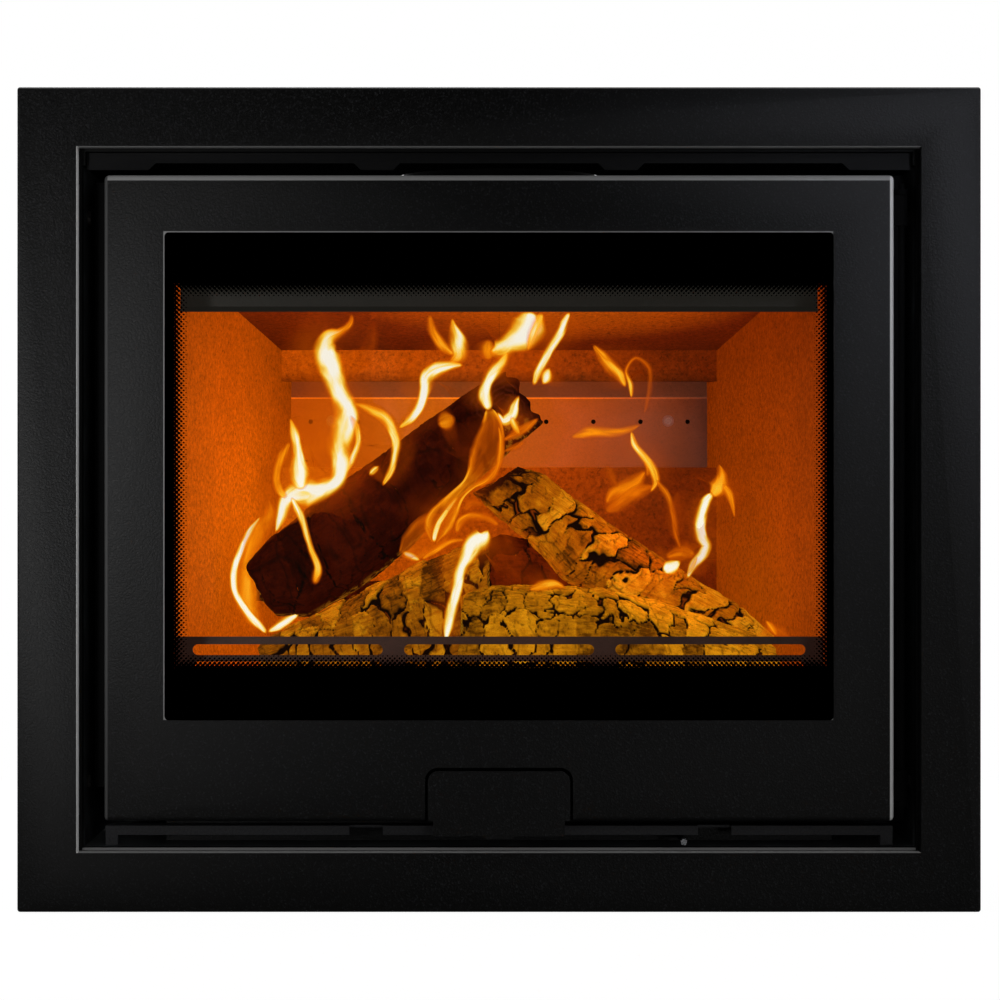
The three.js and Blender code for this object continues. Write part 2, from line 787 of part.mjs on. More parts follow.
const slideHalf = airSlotPitch * (airSlotCount - 1) / 2 + airSlotWidth / 2 + slideEndMargin;
const slideY = behind(airBoxBack) - seat - slideSheet;
const slideBottom = airSlotMiddle - slideHeight / 2;
const slideTop = airSlotMiddle + slideHeight / 2;
const stemBack = slideY - slideGuideSheet - slideGuideLip - seat;
const stemFront = stemBack - 2 * leverRadius;

// The slide with its bent lever: down from the plate, then forward to the tip.
function airSlide() {
  const plate = cut(
    box([slideMiddle - slideHalf, slideMiddle + slideHalf], [slideY, slideY + slideSheet], [slideBottom, slideTop]),
    ...airSlots(slideY - 1, slideY + slideSheet + 1),
  );
  const stem = box(
    [leverSide - leverRadius, leverSide + leverRadius],
    [stemFront, stemBack],
    [leverHeight - leverRadius, slideBottom + slideGuideLip + 3 * leverRadius],
  );
  const bridge = box(
    [leverSide - leverRadius, leverSide + leverRadius],
    [stemBack - leverRadius, slideY + slideSheet / 2],
    [slideBottom + slideGuideLip + leverRadius, slideBottom + slideGuideLip + 3 * leverRadius],
  );
  const rod = rodAlongY(leverSide, leverHeight, leverRadius, behind(leverTipBack), stemBack, 12);
  return join(plate, stem, bridge, rod);
}

// The rod's polished end cap.
function leverTip() {
  const y0 = behind(leverTipBack);
  const cap = rodAlongY(leverSide, leverHeight, leverTipRadius, y0 - seat - leverTipLength, y0 - seat, 16);
  return cap;
}

// Z-section runners on the air box's face, above and below the slide.
function slideGuide(upper) {
  const sign = upper ? 1 : -1;
  const edge = upper ? slideTop : slideBottom;
  const face = behind(airBoxBack) - seat;
  const lipFront = slideY - seat - slideGuideSheet;
  const section = [
    [face, edge + sign * seat],
    [face, edge + sign * (seat + slideGuideSheet)],
    [lipFront, edge + sign * (seat + slideGuideSheet)],
    [lipFront, edge - sign * slideGuideLip],
    [lipFront + slideGuideSheet, edge - sign * slideGuideLip],
    [lipFront + slideGuideSheet, edge + sign * seat],
  ];
  const x0 = slideMiddle - slideHalf - slideTravel;
  return sideways(outline(section), x0, slideMiddle + slideHalf);
}

// A folded strip on two legs that screens the air slide below the door, notched for the air and the hook.
function lowerRail() {
  const y0 = behind(railBack);
  const shelfEnd = stemFront - railShelfGap;
  const section = outline([
    [y0, railBottom],
    [y0 + railSheet, railBottom],
    [y0 + railSheet, railTop - railSheet],
    [shelfEnd, railTop - railSheet],
    [shelfEnd, railTop],
    [y0, railTop],
  ]);
  const strip = sideways(section, -railHalfWidth, railHalfWidth);
  const notches = railNotchSides.map((x) =>
    box([x - railNotchWidth / 2, x + railNotchWidth / 2], [y0 - 1, y0 + 3 * railSheet], [railBottom - 1, railTop + 1]),
  );
  const legs = [-1, 1].map((side) =>
    box(
      [side * railHalfWidth, side * (railHalfWidth - railLegWidth)].sort((a, b) => a - b),
      [y0, shelfEnd],
      [casingSheet + seat, railTop],
    ),
  );
  const hookRelief = box([-hookWidth, hookWidth], [y0 + 2 * railSheet, shelfEnd + 1], [railBottom, railTop + 1]);
  return join(cut(strip, ...notches, hookRelief), ...legs);
}

add('air_box', blackPaint(), airBox());
add('air_inlet_spigot', blackPaint(), airInletSpigot());
add('air_slide', firedSteel(), airSlide());
add('air_lever_tip', bareSteel(), leverTip());
add('slide_guide_upper', blackPaint(), slideGuide(true));
add('slide_guide_lower', blackPaint(), slideGuide(false));
add('lower_air_rail', blackPaint(), lowerRail());

// ---- door ----

const doorHalf = doorWidth / 2;
const doorFace = behind(doorBack);
const skinBack = doorFace + doorSheet;
const panBack = doorFace + doorPanDepth;
const windowHalf = windowWidth / 2;
const glassFront = skinBack + seat + gasketThickness + seat;
const glassBack = glassFront + glassThickness;
const innerFrameFront = panBack - seat - innerFrameSheet;
const flapTop = doorBottom + flapHeight;
const flapHalf = flapWidth / 2;
const pinY = doorFace + flapPinBehindFace;
const pinZ = flapTop - flapPinBelowTop;

// Four-sided ring in X and Z between an inner window and an outer edge, from y0 to y1.
function ring([x0, x1, z0, z1], width, y0, y1, radius) {
  const shape = roundedOutline(x0 - width, x1 + width, z0 - width, z1 + width, radius + width);
  shape.holes.push(roundedOutline(x0, x1, z0, z1, radius));
  return facing(shape, y0, y1, 3);
}

// The painted skin: a pan with a rounded front edge, a window and a U-shaped cut for the flap.
function doorSkin() {
  const outer = facingRounded(
    roundedOutline(-doorHalf, doorHalf, doorBottom, doorTop, doorEdgeRound + seat),
    doorFace,
    panBack + doorEdgeRound,
    doorEdgeRound,
    2,
  );
  const tail = box([-doorWidth, doorWidth], [panBack, panBack + 20], [0, casingHeight]);
  const hollow = box(
    [-doorHalf + doorSheet, doorHalf - doorSheet],
    [skinBack, panBack + 1],
    [doorBottom + doorSheet, doorTop - doorSheet],
  );
  const windowCut = facing(
    roundedOutline(-windowHalf, windowHalf, windowBottom, windowTop, windowCornerRadius),
    doorFace - 1,
    skinBack + 1,
    3,
  );
  const reach = flapHalf + flapSideGap;
  const flapCut = facing(
    roundedOutline(-reach, reach, doorBottom - 20, flapTop + flapTopGap, flapCornerRadius + flapSideGap),
    doorFace - 1,
    panBack + 1,
    4,
  );
  return cut(outer, tail, hollow, windowCut, flapCut);
}

function innerFrame() {
  const inset = doorSheet + seat;
  const edge = windowHalf + innerFrameOverlap;
  const outer = roundedOutline(-doorHalf + inset, doorHalf - inset, doorBottom + inset, doorTop - inset, 3);
  outer.holes.push(
    roundedOutline(-edge, edge, windowBottom - innerFrameOverlap, windowTop + innerFrameOverlap, 6),
  );
  const sheet = facing(outer, innerFrameFront, innerFrameFront + innerFrameSheet, 3);
  const lip = ring(
    [-edge, edge, windowBottom - innerFrameOverlap, windowTop + innerFrameOverlap],
    innerFrameSheet,
    innerFrameFront - innerFrameReturn,
    innerFrameFront + innerFrameSheet / 2,
    6,
  );
  const passage = box(
    [-hookWidth, hookWidth],
    [innerFrameFront - 5, panBack + 5],
    [doorBottom - 1, pinZ - flapPinRadius - hookArmHeight],
  );
  return cut(join(sheet, lip, ...pinEars()), passage);
}

// Two ears that carry the flap's pin, forward from the inner frame.
function pinEars() {
  const inner = flapHalf + flapSideGap + seat;
  return [-1, 1].map((side) => {
    const span = [side * inner, side * (inner + flapEarSheet)].sort((a, b) => a - b);
    const ear = sideways(
      outline([
        [skinBack + seat, pinZ - pinEarTip],
        [innerFrameFront + innerFrameSheet / 2, pinZ - pinEarFoot],
        [innerFrameFront + innerFrameSheet / 2, pinZ + pinEarFoot],
        [skinBack + seat, pinZ + pinEarTip],
      ]),
      ...span,
    );
    return cut(ear, rodAlongX(pinY, pinZ, flapPinRadius + runningGap, span[0] - 1, span[1] + 1));
  });
}

function glassPane() {
  const reach = windowHalf + glassOverlap;
  const shape = roundedOutline(-reach, reach, windowBottom - glassOverlap, windowTop + glassOverlap, 4);
  return facing(shape, glassFront, glassBack, 2);
}

function glassGasket() {
  const inner = glassOverlap - gasketWidth - 1;
  return ring(
    [-windowHalf - inner, windowHalf + inner, windowBottom - inner, windowTop + inner],
    gasketWidth,
    skinBack + seat,
    skinBack + seat + gasketThickness,
    windowCornerRadius,
  );
}

// A strip that presses the pane on its gasket, folded forward to the skin above or below the pane.
function glassClamp(sign) {
  const edge = sign > 0 ? windowTop + glassOverlap : windowBottom - glassOverlap;
  const out = seat + clampSheet;
  const y0 = glassBack + seat;
  const across = [-clampReach, clampReach];
  const hold = [edge - sign * (clampWidth - out), edge + sign * out].sort((a, b) => a - b);
  const fold = [edge + sign * seat, edge + sign * out].sort((a, b) => a - b);
  return join(box(across, [y0, y0 + clampSheet], hold), box(across, [skinBack + seat, y0 + clampSheet], fold));
}

function doorRope() {
  const inner = ropeOutsideOpening - ropeWidth / 2;
  return ring(
    [
      -boxOpeningHalfWidth - inner,
      boxOpeningHalfWidth + inner,
      boxOpeningBottom - inner,
      boxOpeningTop + inner,
    ],
    ropeWidth,
    panBack,
    behind(frontPlateBack) - seat,
    8,
  );
}

// ---- hinge ----

const rodX = doorHalf + hingeRodFromDoor;
const rodY = behind(hingeRodBack);
const rodBottom = doorBottom + hingeRodInset;
const rodTop = doorTop - hingeRodInset;
const bracketLow = doorBottom + bracketFromEnd;
const bracketHigh = doorTop - bracketFromEnd;

// A tab with a round nose on the rod and a foot on the front plate, its sheet from z up.
function hingeBracket(z, footUp) {
  const back = behind(frontPlateBack) - seat;
  const shape = new THREE.Shape();
  shape.moveTo(rodX - knuckleRadius, rodY);
  shape.absarc(rodX, rodY, knuckleRadius, Math.PI, Math.PI * 2);
  shape.lineTo(rodX + knuckleRadius, back);
  shape.lineTo(rodX - knuckleRadius, back);
  const tab = plan(shape, z, z + bracketSheet, 6);
  const footSpan = footUp ? [z, z + 4 * bracketSheet] : [z - 3 * bracketSheet, z + bracketSheet];
  const foot = box(
    [rodX - knuckleRadius, Math.min(rodX + knuckleRadius, frontPlateHalfWidth)],
    [back - bracketSheet / 2, back],
    footSpan,
  );
  const bore = rodAlongZ(rodX, rodY, hingeRodRadius + runningGap, z - 1, z + bracketSheet + 1);
  return cut(join(tab, foot), bore);
}

// A door knuckle: a leaf against the pan's side, rolled round the rod.
function hingeKnuckle(z) {
  const leafX = doorHalf + seat;
  const leaf = box([leafX, rodX], [rodY - knuckleRadius, rodY + knuckleRadius], [z, z + knuckleHeight]);
  const barrel = rodAlongZ(rodX, rodY, knuckleRadius, z, z + knuckleHeight);
  const bore = rodAlongZ(rodX, rodY, hingeRodRadius + runningGap, z - 1, z + knuckleHeight + 1);
  return cut(join(leaf, barrel), bore);
}

// ---- flap handle and latch ----

const armBottom = frontPlateBottom - keeperDrop - seat - hookBeakHeight - hookArmHeight;

// The flap: a plate in the U-shaped cut, a lip to pull below the door, and two ears on the pin.
function flapHandle() {
  const lipBottom = doorBottom - lipDrop;
  const half = lipWidth / 2;
  const plate = facing(
    roundedOutline(-flapHalf, flapHalf, doorBottom, flapTop, flapCornerRadius),
    doorFace,
    doorFace + flapSheet,
    4,
  );
  const corners = box([-flapHalf, flapHalf], [doorFace, doorFace + flapSheet], [doorBottom, doorBottom + 2 * flapCornerRadius]);
  const lip = box([-half, half], [doorFace, doorFace + flapSheet], [lipBottom, doorBottom + 1]);
  const curl = sideways(
    outline([
      [doorFace, lipBottom],
      [doorFace + lipCurlDepth, lipBottom + flapSheet],
      [doorFace + lipCurlDepth, lipBottom + flapSheet + lipCurlEdge],
      [doorFace + flapSheet / 2, lipBottom + flapSheet + lipCurlEdge],
    ]),
    -half,
    half,
  );
  const nub = facing(
    outline([
      [-lipNubWidth / 2, lipBottom + 1],
      [lipNubWidth / 2, lipBottom + 1],
      [lipNubWidth / 2 - lipNubDrop, lipBottom - lipNubDrop],
      [lipNubDrop - lipNubWidth / 2, lipBottom - lipNubDrop],
    ].reverse()),
    doorFace,
    doorFace + flapSheet,
  );
  const ears = [-1, 1].map((side) => {
    const outerX = flapHalf - flapEarInset;
    const span = [side * outerX, side * (outerX - flapEarSheet)].sort((a, b) => a - b);
    const body = sideways(
      outline([
        [doorFace + flapSheet / 2, pinZ - flapEarDrop],
        [pinY + 0.8 * flapEarNose, pinZ - 0.9 * flapEarNose],
        [pinY + flapEarNose, pinZ],
        [pinY + 0.6 * flapEarNose, pinZ + 0.9 * flapEarNose],
        [doorFace + flapSheet / 2, pinZ + flapEarNose],
      ]),
      ...span,
    );
    return cut(body, rodAlongX(pinY, pinZ, flapPinRadius + runningGap, span[0] - 1, span[1] + 1));
  });
  return join(plate, corners, lip, curl, nub, ...ears);
}

function flapPin() {
  const reach = flapHalf + flapSideGap + seat + flapEarSheet + 2;
  return rodAlongX(pinY, pinZ, flapPinRadius, -reach, reach);
}

// The hook: a leg against the flap's back and an arm under the keeper with a beak behind it.
function latchHook() {
  const front = doorFace + flapSheet + seat;
  const keeperRear = behind(frontPlateBack + plateSheet) + seat + keeperSheet;
  const beakFront = keeperRear + 2 * seat;
  const top = armBottom + hookArmHeight;
  const section = outline([
    [front, armBottom - hookHeel],
    [front + hookLegSheet, armBottom],
    [beakFront + hookBeakLength, armBottom],
    [beakFront + hookBeakLength, top + hookBeakHeight / 2],
    [beakFront + hookBeakLength / 2, top + hookBeakHeight],
    [beakFront, top + hookBeakHeight],
    [beakFront, top],
    [front + hookLegSheet, top],
    [front + hookLegSheet, top + hookLegRise],
    [front, top + hookLegRise],
  ]);
  return sideways(section, -hookWidth / 2, hookWidth / 2);
}

function latchKeeper() {
  const y0 = behind(frontPlateBack + plateSheet) + seat;
  return box(
    [-keeperWidth / 2, keeperWidth / 2],
    [y0, y0 + keeperSheet],
    [frontPlateBottom - keeperDrop, frontPlateBottom + 2 * keeperDrop],
  );
}

add('door_skin', blackPaint(), doorSkin());
add('door_inner_frame', blackPaint(), innerFrame());
add('door_glass', ceramicGlass(), glassPane());
add('glass_gasket', glassFibre(), glassGasket());
add('glass_clamp_top', firedSteel(), glassClamp(1));
add('glass_clamp_bottom', firedSteel(), glassClamp(-1));
add('door_rope_seal', glassFibre(), doorRope());
add('hinge_rod', bareSteel(), rodAlongZ(rodX, rodY, hingeRodRadius, rodBottom, rodTop));
add('hinge_bracket_lower', blackPaint(), hingeBracket(bracketLow - bracketSheet, false));
add('hinge_bracket_upper', blackPaint(), hingeBracket(bracketHigh, true));
add('hinge_knuckle_lower', blackPaint(), hingeKnuckle(bracketLow + seat));
add('hinge_knuckle_upper', blackPaint(), hingeKnuckle(bracketHigh - seat - knuckleHeight));
add('handle_flap', blackPaint(), flapHandle());
add('handle_pin', bareSteel(), flapPin());
add('latch_hook', firedSteel(), latchHook());
add('latch_keeper', firedSteel(), latchKeeper());

// ---- fire laid on the hearth ----

// Ends are [across, depth, height]: shares of the opening's half width and of the depth to the rear brick,
// and heights above the hearth in log radii. The first two lie on the hearth, the rest lean on them.
const logs = [
  { name: 'log_front', from: [-0.146, 0.359, 1.100], to: [0.797, 0.386, 1.100], thick: 1.086, turn: 0.4, split: 0.86 },
  { name: 'log_front_left', from: [-0.699, 0.359, 1.057], to: [-0.057, 0.524, 2.771], thick: 1.057, turn: 1.9, split: 0.8 },
  { name: 'log_leaning_right', from: [0.008, 0.607, 4.171], to: [0.797, 0.572, 1.657], thick: 1.000, turn: 2.6, split: 0.82 },
  { name: 'log_charred', from: [-0.715, 0.552, 2.057], to: [0.089, 0.710, 6.171], thick: 1.000, turn: 0.9, split: 0.7 },
  { name: 'log_rear', from: [-0.480, 0.814, 1.143], to: [0.520, 0.800, 1.143], thick: 1.114, turn: 0.2, split: 0.85 },
  { name: 'log_middle', from: [-0.081, 0.545, 2.286], to: [0.455, 0.579, 2.229], thick: 0.857, turn: 1.2, split: 0.85 },
];
const logRadius = 35;
const logSides = 12;
const logSteps = 6;
const logFlare = 0.05; // how much a log swells and narrows along its length

function firePlace([across, depth, height]) {
  return new THREE.Vector3(
    across * boxOpeningHalfWidth,
    behind(depth * rearBrickBack),
    hearthTop + height * logRadius,
  );
}

// A split log: a round back and two flatter faces, swept from end to end and grown by a clearance.
function logSolid({ from, to, thick, turn, split }, grow) {
  const start = firePlace(from);
  const end = firePlace(to);
  const radius = logRadius * thick;
  const along = end.clone().sub(start).normalize();
  const across = new THREE.Vector3(0, 0, 1).cross(along).normalize();
  const up = along.clone().cross(across);
  start.addScaledVector(along, -grow);
  end.addScaledVector(along, grow);
  const positions = [];
  const triangles = [];
  for (let step = 0; step <= logSteps; step += 1) {
    const share = step / logSteps;
    const centre = start.clone().lerp(end, share);
    for (let side = 0; side < logSides; side += 1) {
      const angle = (side / logSides) * Math.PI * 2;
      const flat = 1 - (1 - split) * Math.max(0, Math.cos(angle - turn)) ** 2;
      const second = 1 - (1 - split) * 0.6 * Math.max(0, Math.cos(angle - turn - 2)) ** 2;
      const swell = 1 + logFlare * Math.sin(share * 5 + turn * 3 + angle);
      const reach = radius * flat * second * swell + grow;
      const point = centre
        .clone()
        .addScaledVector(across, Math.cos(angle) * reach)
        .addScaledVector(up, Math.sin(angle) * reach);
      positions.push(point.x, point.y, point.z);
    }
  }
  const ringStart = (step) => step * logSides;
  for (let step = 0; step < logSteps; step += 1) {
    for (let side = 0; side < logSides; side += 1) {
      const next = (side + 1) % logSides;
      const [a, b] = [ringStart(step) + side, ringStart(step) + next];
      const [c, d] = [ringStart(step + 1) + side, ringStart(step + 1) + next];
      triangles.push(a, b, d, a, d, c);
    }
  }
  for (let side = 1; side < logSides - 1; side += 1) {
    triangles.push(0, side + 1, side);
    const last = ringStart(logSteps);
    triangles.push(last, last + side, last + side + 1);
  }
  const geometry = new THREE.BufferGeometry();
  geometry.setAttribute('position', new THREE.BufferAttribute(new Float32Array(positions), 3));
  geometry.setIndex(triangles);
  return solidOf(geometry);
}

// The free space that the logs may fill: between the bricks, behind the guard and above the hearth.
function fireSpace() {
  const front = guardBack + guardFoot + 2 * seat;
  return plan(taperedPlan(front, rearBrickBack - airPlateProud, -3 * seat), hearthTop + seat, airWashBottom);
}

// The largest single piece of a log, after its neighbours have bitten into it.
function largestPiece(solid) {
  const parts = solid.decompose();
  return parts.reduce((best, part) => (part.volume() > best.volume() ? part : best));
}

const laid = [];
for (const log of logs) {
  let solid = logSolid(log, 0).intersect(fireSpace());
  for (const earlier of laid) {
    solid = cut(solid, logSolid(earlier, seat));
  }
  laid.push(log);
  add(log.name, log.name === 'log_charred' ? charredWood() : burningWood(), largestPiece(solid));
}

export default stove;
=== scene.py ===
import bpy
import math
import bmesh
import numpy as np
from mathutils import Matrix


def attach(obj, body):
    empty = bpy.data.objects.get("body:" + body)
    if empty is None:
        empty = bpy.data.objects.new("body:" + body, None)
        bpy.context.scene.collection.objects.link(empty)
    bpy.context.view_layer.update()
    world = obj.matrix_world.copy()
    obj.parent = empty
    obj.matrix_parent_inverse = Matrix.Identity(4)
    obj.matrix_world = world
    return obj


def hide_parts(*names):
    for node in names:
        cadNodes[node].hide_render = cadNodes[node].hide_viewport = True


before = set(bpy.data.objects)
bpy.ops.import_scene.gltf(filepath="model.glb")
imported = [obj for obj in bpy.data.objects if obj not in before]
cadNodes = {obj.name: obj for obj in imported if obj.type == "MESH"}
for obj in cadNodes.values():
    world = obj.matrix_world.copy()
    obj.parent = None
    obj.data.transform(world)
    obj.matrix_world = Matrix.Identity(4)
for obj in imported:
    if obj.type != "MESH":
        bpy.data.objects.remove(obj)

scene = bpy.context.scene
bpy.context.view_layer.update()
print("frame loaded:", len(cadNodes), "nodes")

cameraSettings = {
    "distance": 2.4,          # metres in front of the surround's face
    "viewWidth": 0.721,       # metres of the front plane that fill the picture
    "axisX": 0.0007,
    "axisZ": 0.2539,
    "faceY": -0.187,          # front face of the surround
    "sensor": 36.0,
}


def makeCamera(settings):
    data = bpy.data.cameras.new("front_camera")
    data.sensor_width = settings["sensor"]
    data.lens = settings["sensor"] * settings["distance"] / settings["viewWidth"]
    camera = bpy.data.objects.new("front_camera", data)
    camera.location = (settings["axisX"], settings["faceY"] - settings["distance"], settings["axisZ"])
    camera.rotation_euler = (math.radians(90), 0, 0)
    scene.collection.objects.link(camera)
    scene.camera = camera
    bpy.context.scene.camera = camera
    return camera


def seen(places, depth):
    # picture place (px, py of a 1000 px frame) and depth behind the front face, to metres:
    # the offset from the camera's axis grows with the distance, as rays do
    places = np.asarray(places, float)
    depth = np.broadcast_to(np.asarray(depth, float) / 1000, places.shape[:-1])
    grow = (cameraSettings["distance"] + depth) / cameraSettings["distance"]
    step = cameraSettings["viewWidth"] / 1000
    x = cameraSettings["axisX"] + (places[..., 0] - 500) * step * grow
    z = cameraSettings["axisZ"] + (500 - places[..., 1]) * step * grow
    return np.stack([x, cameraSettings["faceY"] + depth, z], axis=-1)


makeCamera(cameraSettings)
scene.view_settings.view_transform = "Standard"
print("camera placed")


def colour(hexValue, alpha=1.0):
    # sRGB hex to linear light, by the sRGB curve
    parts = [int(hexValue[i:i + 2], 16) / 255 for i in (1, 3, 5)]
    linear = [p / 12.92 if p <= 0.04045 else ((p + 0.055) / 1.055) ** 2.4 for p in parts]
    return (*linear, alpha)


nodeKinds = {      # word: Blender's node, its settings, the inputs that values go to, the output used
    "place": ("ShaderNodeTexCoord", {}, (), "Object"),
    "split": ("ShaderNodeSeparateXYZ", {}, (0,), None),
    "attribute": ("ShaderNodeAttribute", {}, (), "Fac"),
    "noise": ("ShaderNodeTexNoise", {}, ("Vector", "Scale", "Detail", "Roughness"), "Fac"),
    "ramp": ("ShaderNodeValToRGB", {}, ("Fac",), "Color"),
    "range": ("ShaderNodeMapRange", {}, (0, 1, 2, 3, 4), 0),      # value, from two, to two
    "mix": ("ShaderNodeMix", {"data_type": "RGBA"}, (0, 6, 7), 2),
    "bump": ("ShaderNodeBump", {}, ("Height", "Distance"), "Normal"),
    "length": ("ShaderNodeVectorMath", {"operation": "LENGTH"}, (0,), "Value"),
    "shift": ("ShaderNodeVectorMath", {"operation": "SUBTRACT"}, (0, 1), 0),
    "stretch": ("ShaderNodeVectorMath", {"operation": "MULTIPLY"}, (0, 1), 0),
}
mathsWords = {"plus": "ADD", "minus": "SUBTRACT", "times": "MULTIPLY", "over": "DIVIDE", "power": "POWER",
              "root": "SQRT", "size": "ABSOLUTE", "sine": "SINE", "part": "FRACT", "least": "MINIMUM",
              "most": "MAXIMUM", "below": "LESS_THAN", "above": "GREATER_THAN"}
for word, operation in mathsWords.items():
    nodeKinds[word] = ("ShaderNodeMath", {"operation": operation}, (0, 1), 0)


def add(tree, kind, *values, stops=(), **settings):
    # adds one node: kind is a word above or Blender's own name; the values, in turn or in a dictionary
    # by input, are numbers, colours or other nodes' outputs; stops are the colours of a ramp
    # a noise takes 1000 over the width of its patches in mm, a bump its depth in mm over 1000
    blenderKind, preset, slots, output = nodeKinds.get(kind, (kind, {}, (), None))
    node = tree.nodes.new(blenderKind)
    for name, value in {**preset, **settings}.items():
        setattr(node, name, value)
    byInput = values[0] if values and isinstance(values[0], dict) else dict(zip(slots, values))
    for name, value in byInput.items():
        if isinstance(value, bpy.types.NodeSocket):
            tree.links.new(value, node.inputs[name])
        else:
            node.inputs[name].default_value = value
    for number, (place, hexValue) in enumerate(stops):
        elements = node.color_ramp.elements
        element = elements[number] if number < len(elements) else elements.new(place)
        element.position, element.color = place, colour(hexValue)
    return node if output is None else node.outputs[output]


def startMaterial(name):
    material = bpy.data.materials.new(name)
    material.use_nodes = True
    material.node_tree.nodes.clear()
    return material, material.node_tree


def closeMaterial(tree, shader):
    add(tree, "ShaderNodeOutputMaterial", {"Surface": shader})


paintSettings = {
    "colour": "#040404",      # dull black
    "fleck": "#2c2d30",       # lighter grains of the sandy film
    "grain": 1.5,             # real grain 0.3 mm, drawn coarser so that it shows
    "relief": 0.30,
    "roughness": 0.45,
    "sheen": 0.20,
    "edges": [],              # painted highlights, where the edges would catch the lamps: measure, low, high, colour
    "rim": (0.3045, 0.2542, 0.2545),      # opening of the sheet: half width, middle height, half height
    "rimEnd": 1.0,            # the rim gets its painted highlight only to the left of this
    "rimLeftEnd": -0.304,     # what counts as the rim's left side
    "soft": 0.0005,           # how softly a painted highlight ends
}
# painted highlights on the surround: its outer top edge, the returns round the opening except on the right,
# the left return lightest
surroundHighlights = [("z", 0.5503, 0.56, "#585858"), ("rim", -0.002, 0.0005, "#8a8a8a"),
                 ("rimLeft", -0.002, 0.0005, "#e4e4e4")]
# painted highlights on the door: its top edge, the right edge lightest, the left edge faintest, and the
# window's rim except on its right
doorHighlights = [("z", 0.4847, 0.50, "#8a8a8a"), ("x", 0.2824, 0.29, "#c8c8c8"), ("x", -0.29, -0.2828, "#484848"),
             ("rim", -0.002, 0.0009, "#868686")]


def rimDistance(tree, place, rim):
    # how far outside an upright rectangle a point of the sheet lies, the larger of both ways
    x, y, z = add(tree, "split", place).outputs
    overX = add(tree, "minus", add(tree, "size", x), rim[0])
    overZ = add(tree, "minus", add(tree, "size", add(tree, "minus", z, rim[1])), rim[2])
    return add(tree, "most", overX, overZ)


def sandyBlackPaint(name, settings):
    # heat-proof black paint, sprayed: a dull, faintly sandy film that scatters a soft sheen
    material, tree = startMaterial(name)
    place = add(tree, "place")
    grain = add(tree, "noise", place, 1000 / settings["grain"], 3, 0.6)
    patches = add(tree, "noise", place, 1000 / 90, 2, 0.5)
    flecks = add(tree, "range", grain, 0.55, 0.76)
    base = add(tree, "mix", flecks, colour(settings["colour"]), colour(settings["fleck"]))
    base = add(tree, "mix", add(tree, "range", patches, 0.35, 0.7, 0, 0.3), base, colour("#060606"))
    x, y, z = add(tree, "split", place).outputs
    rim = rimDistance(tree, place, settings["rim"])
    rim = add(tree, "plus", rim, add(tree, "above", x, settings["rimEnd"]))
    rimLeft = add(tree, "plus", rim, add(tree, "above", x, settings["rimLeftEnd"]))
    # painted highlights: the base colour is made lighter along each listed band, where a rounded edge would
    # catch a lamp
    for measure, low, high, hexValue in settings["edges"]:
        value = {"x": x, "z": z, "rim": rim, "rimLeft": rimLeft}[measure]
        highlighted = add(tree, "times", add(tree, "range", value, low, low + settings["soft"]),
                     add(tree, "range", value, high, high - settings["soft"]))
        base = add(tree, "mix", highlighted, base, colour(hexValue))
    rough = add(tree, "range", grain, 0.3, 0.7, settings["roughness"] - 0.05, settings["roughness"] + 0.07)
    shader = add(tree, "ShaderNodeBsdfPrincipled", {
        "Base Color": base, "Roughness": rough, "Normal": add(tree, "bump", grain, settings["relief"] / 1000),
        "Specular IOR Level": settings["sheen"], "IOR": 1.5})
    closeMaterial(tree, shader.outputs[0])
    return material


def shadedBlackPaint(name, hexValue, roughness):
    # the same paint, flatter and finely grained, in copies whose colour stands for the light each place gets:
    # painted shade where a copy is darker, painted light where it is lighter
    material, tree = startMaterial(name)
    place = add(tree, "place")
    grain = add(tree, "noise", place, 1000 / 1.6, 3, 0.6)
    base = add(tree, "mix", add(tree, "range", grain, 0.4, 0.75, 0, 0.5), colour(hexValue), colour("#0c0c0d"))
    shader = add(tree, "ShaderNodeBsdfPrincipled", {
        "Base Color": base, "Roughness": roughness, "Normal": add(tree, "bump", grain, 0.04 / 1000),
        "Specular IOR Level": 0.1})
    closeMaterial(tree, shader.outputs[0])
    return material


def zincCoatedSheet(name, settings):
    # hot-dip zinc sheet of the hidden casing: grey with faint frost-like spangle and rub marks
    material, tree = startMaterial(name)
    place = add(tree, "place")
    spangle = add(tree, "ShaderNodeTexVoronoi", {"Vector": place, "Scale": 1000 / 14, "Randomness": 1.0})
    tint = add(tree, "ShaderNodeSeparateColor", {0: spangle.outputs["Color"]}).outputs[0]
    smear = add(tree, "noise", place, 1000 / 60, 4, 0.6)
    base = add(tree, "ramp", tint, stops=[(0.0, "#5d6164"), (0.5, "#6b6f72"), (1.0, "#7b8083")])
    base = add(tree, "mix", add(tree, "range", smear, 0.45, 0.75, 0, 0.5), base, colour("#505355"))
    rough = add(tree, "range", tint, 0, 1, 0.38, 0.55)
    x, y, z = add(tree, "split", place).outputs
    lowPart = add(tree, "range", z, settings["zincFrom"], settings["zincFrom"] - 0.0002)
    paintedShade = add(tree, "most", add(tree, "range", y, -0.163, -0.166), lowPart)
    base = add(tree, "mix", paintedShade, base, colour("#040404"))      # painted shade: the front band that shows in the recess, and the part below the given height, are coloured black
    # the front cut edge takes the colour given for each copy: painted shade where it is near black, a painted
    # highlight where it is light grey
    base = add(tree, "mix", add(tree, "range", y, -0.1744, -0.1748), base, colour(settings["edge"]))
    rough = add(tree, "most", rough, add(tree, "times", paintedShade, 0.7))
    metal = add(tree, "range", paintedShade, 0, 1, 0.85, 0.0)
    shader = add(tree, "ShaderNodeBsdfPrincipled", {
        "Base Color": base, "Metallic": metal, "Roughness": rough, "Specular IOR Level": 0.2,
        "Normal": add(tree, "bump", smear, 0.15 / 1000)})
    closeMaterial(tree, shader.outputs[0])
    return material


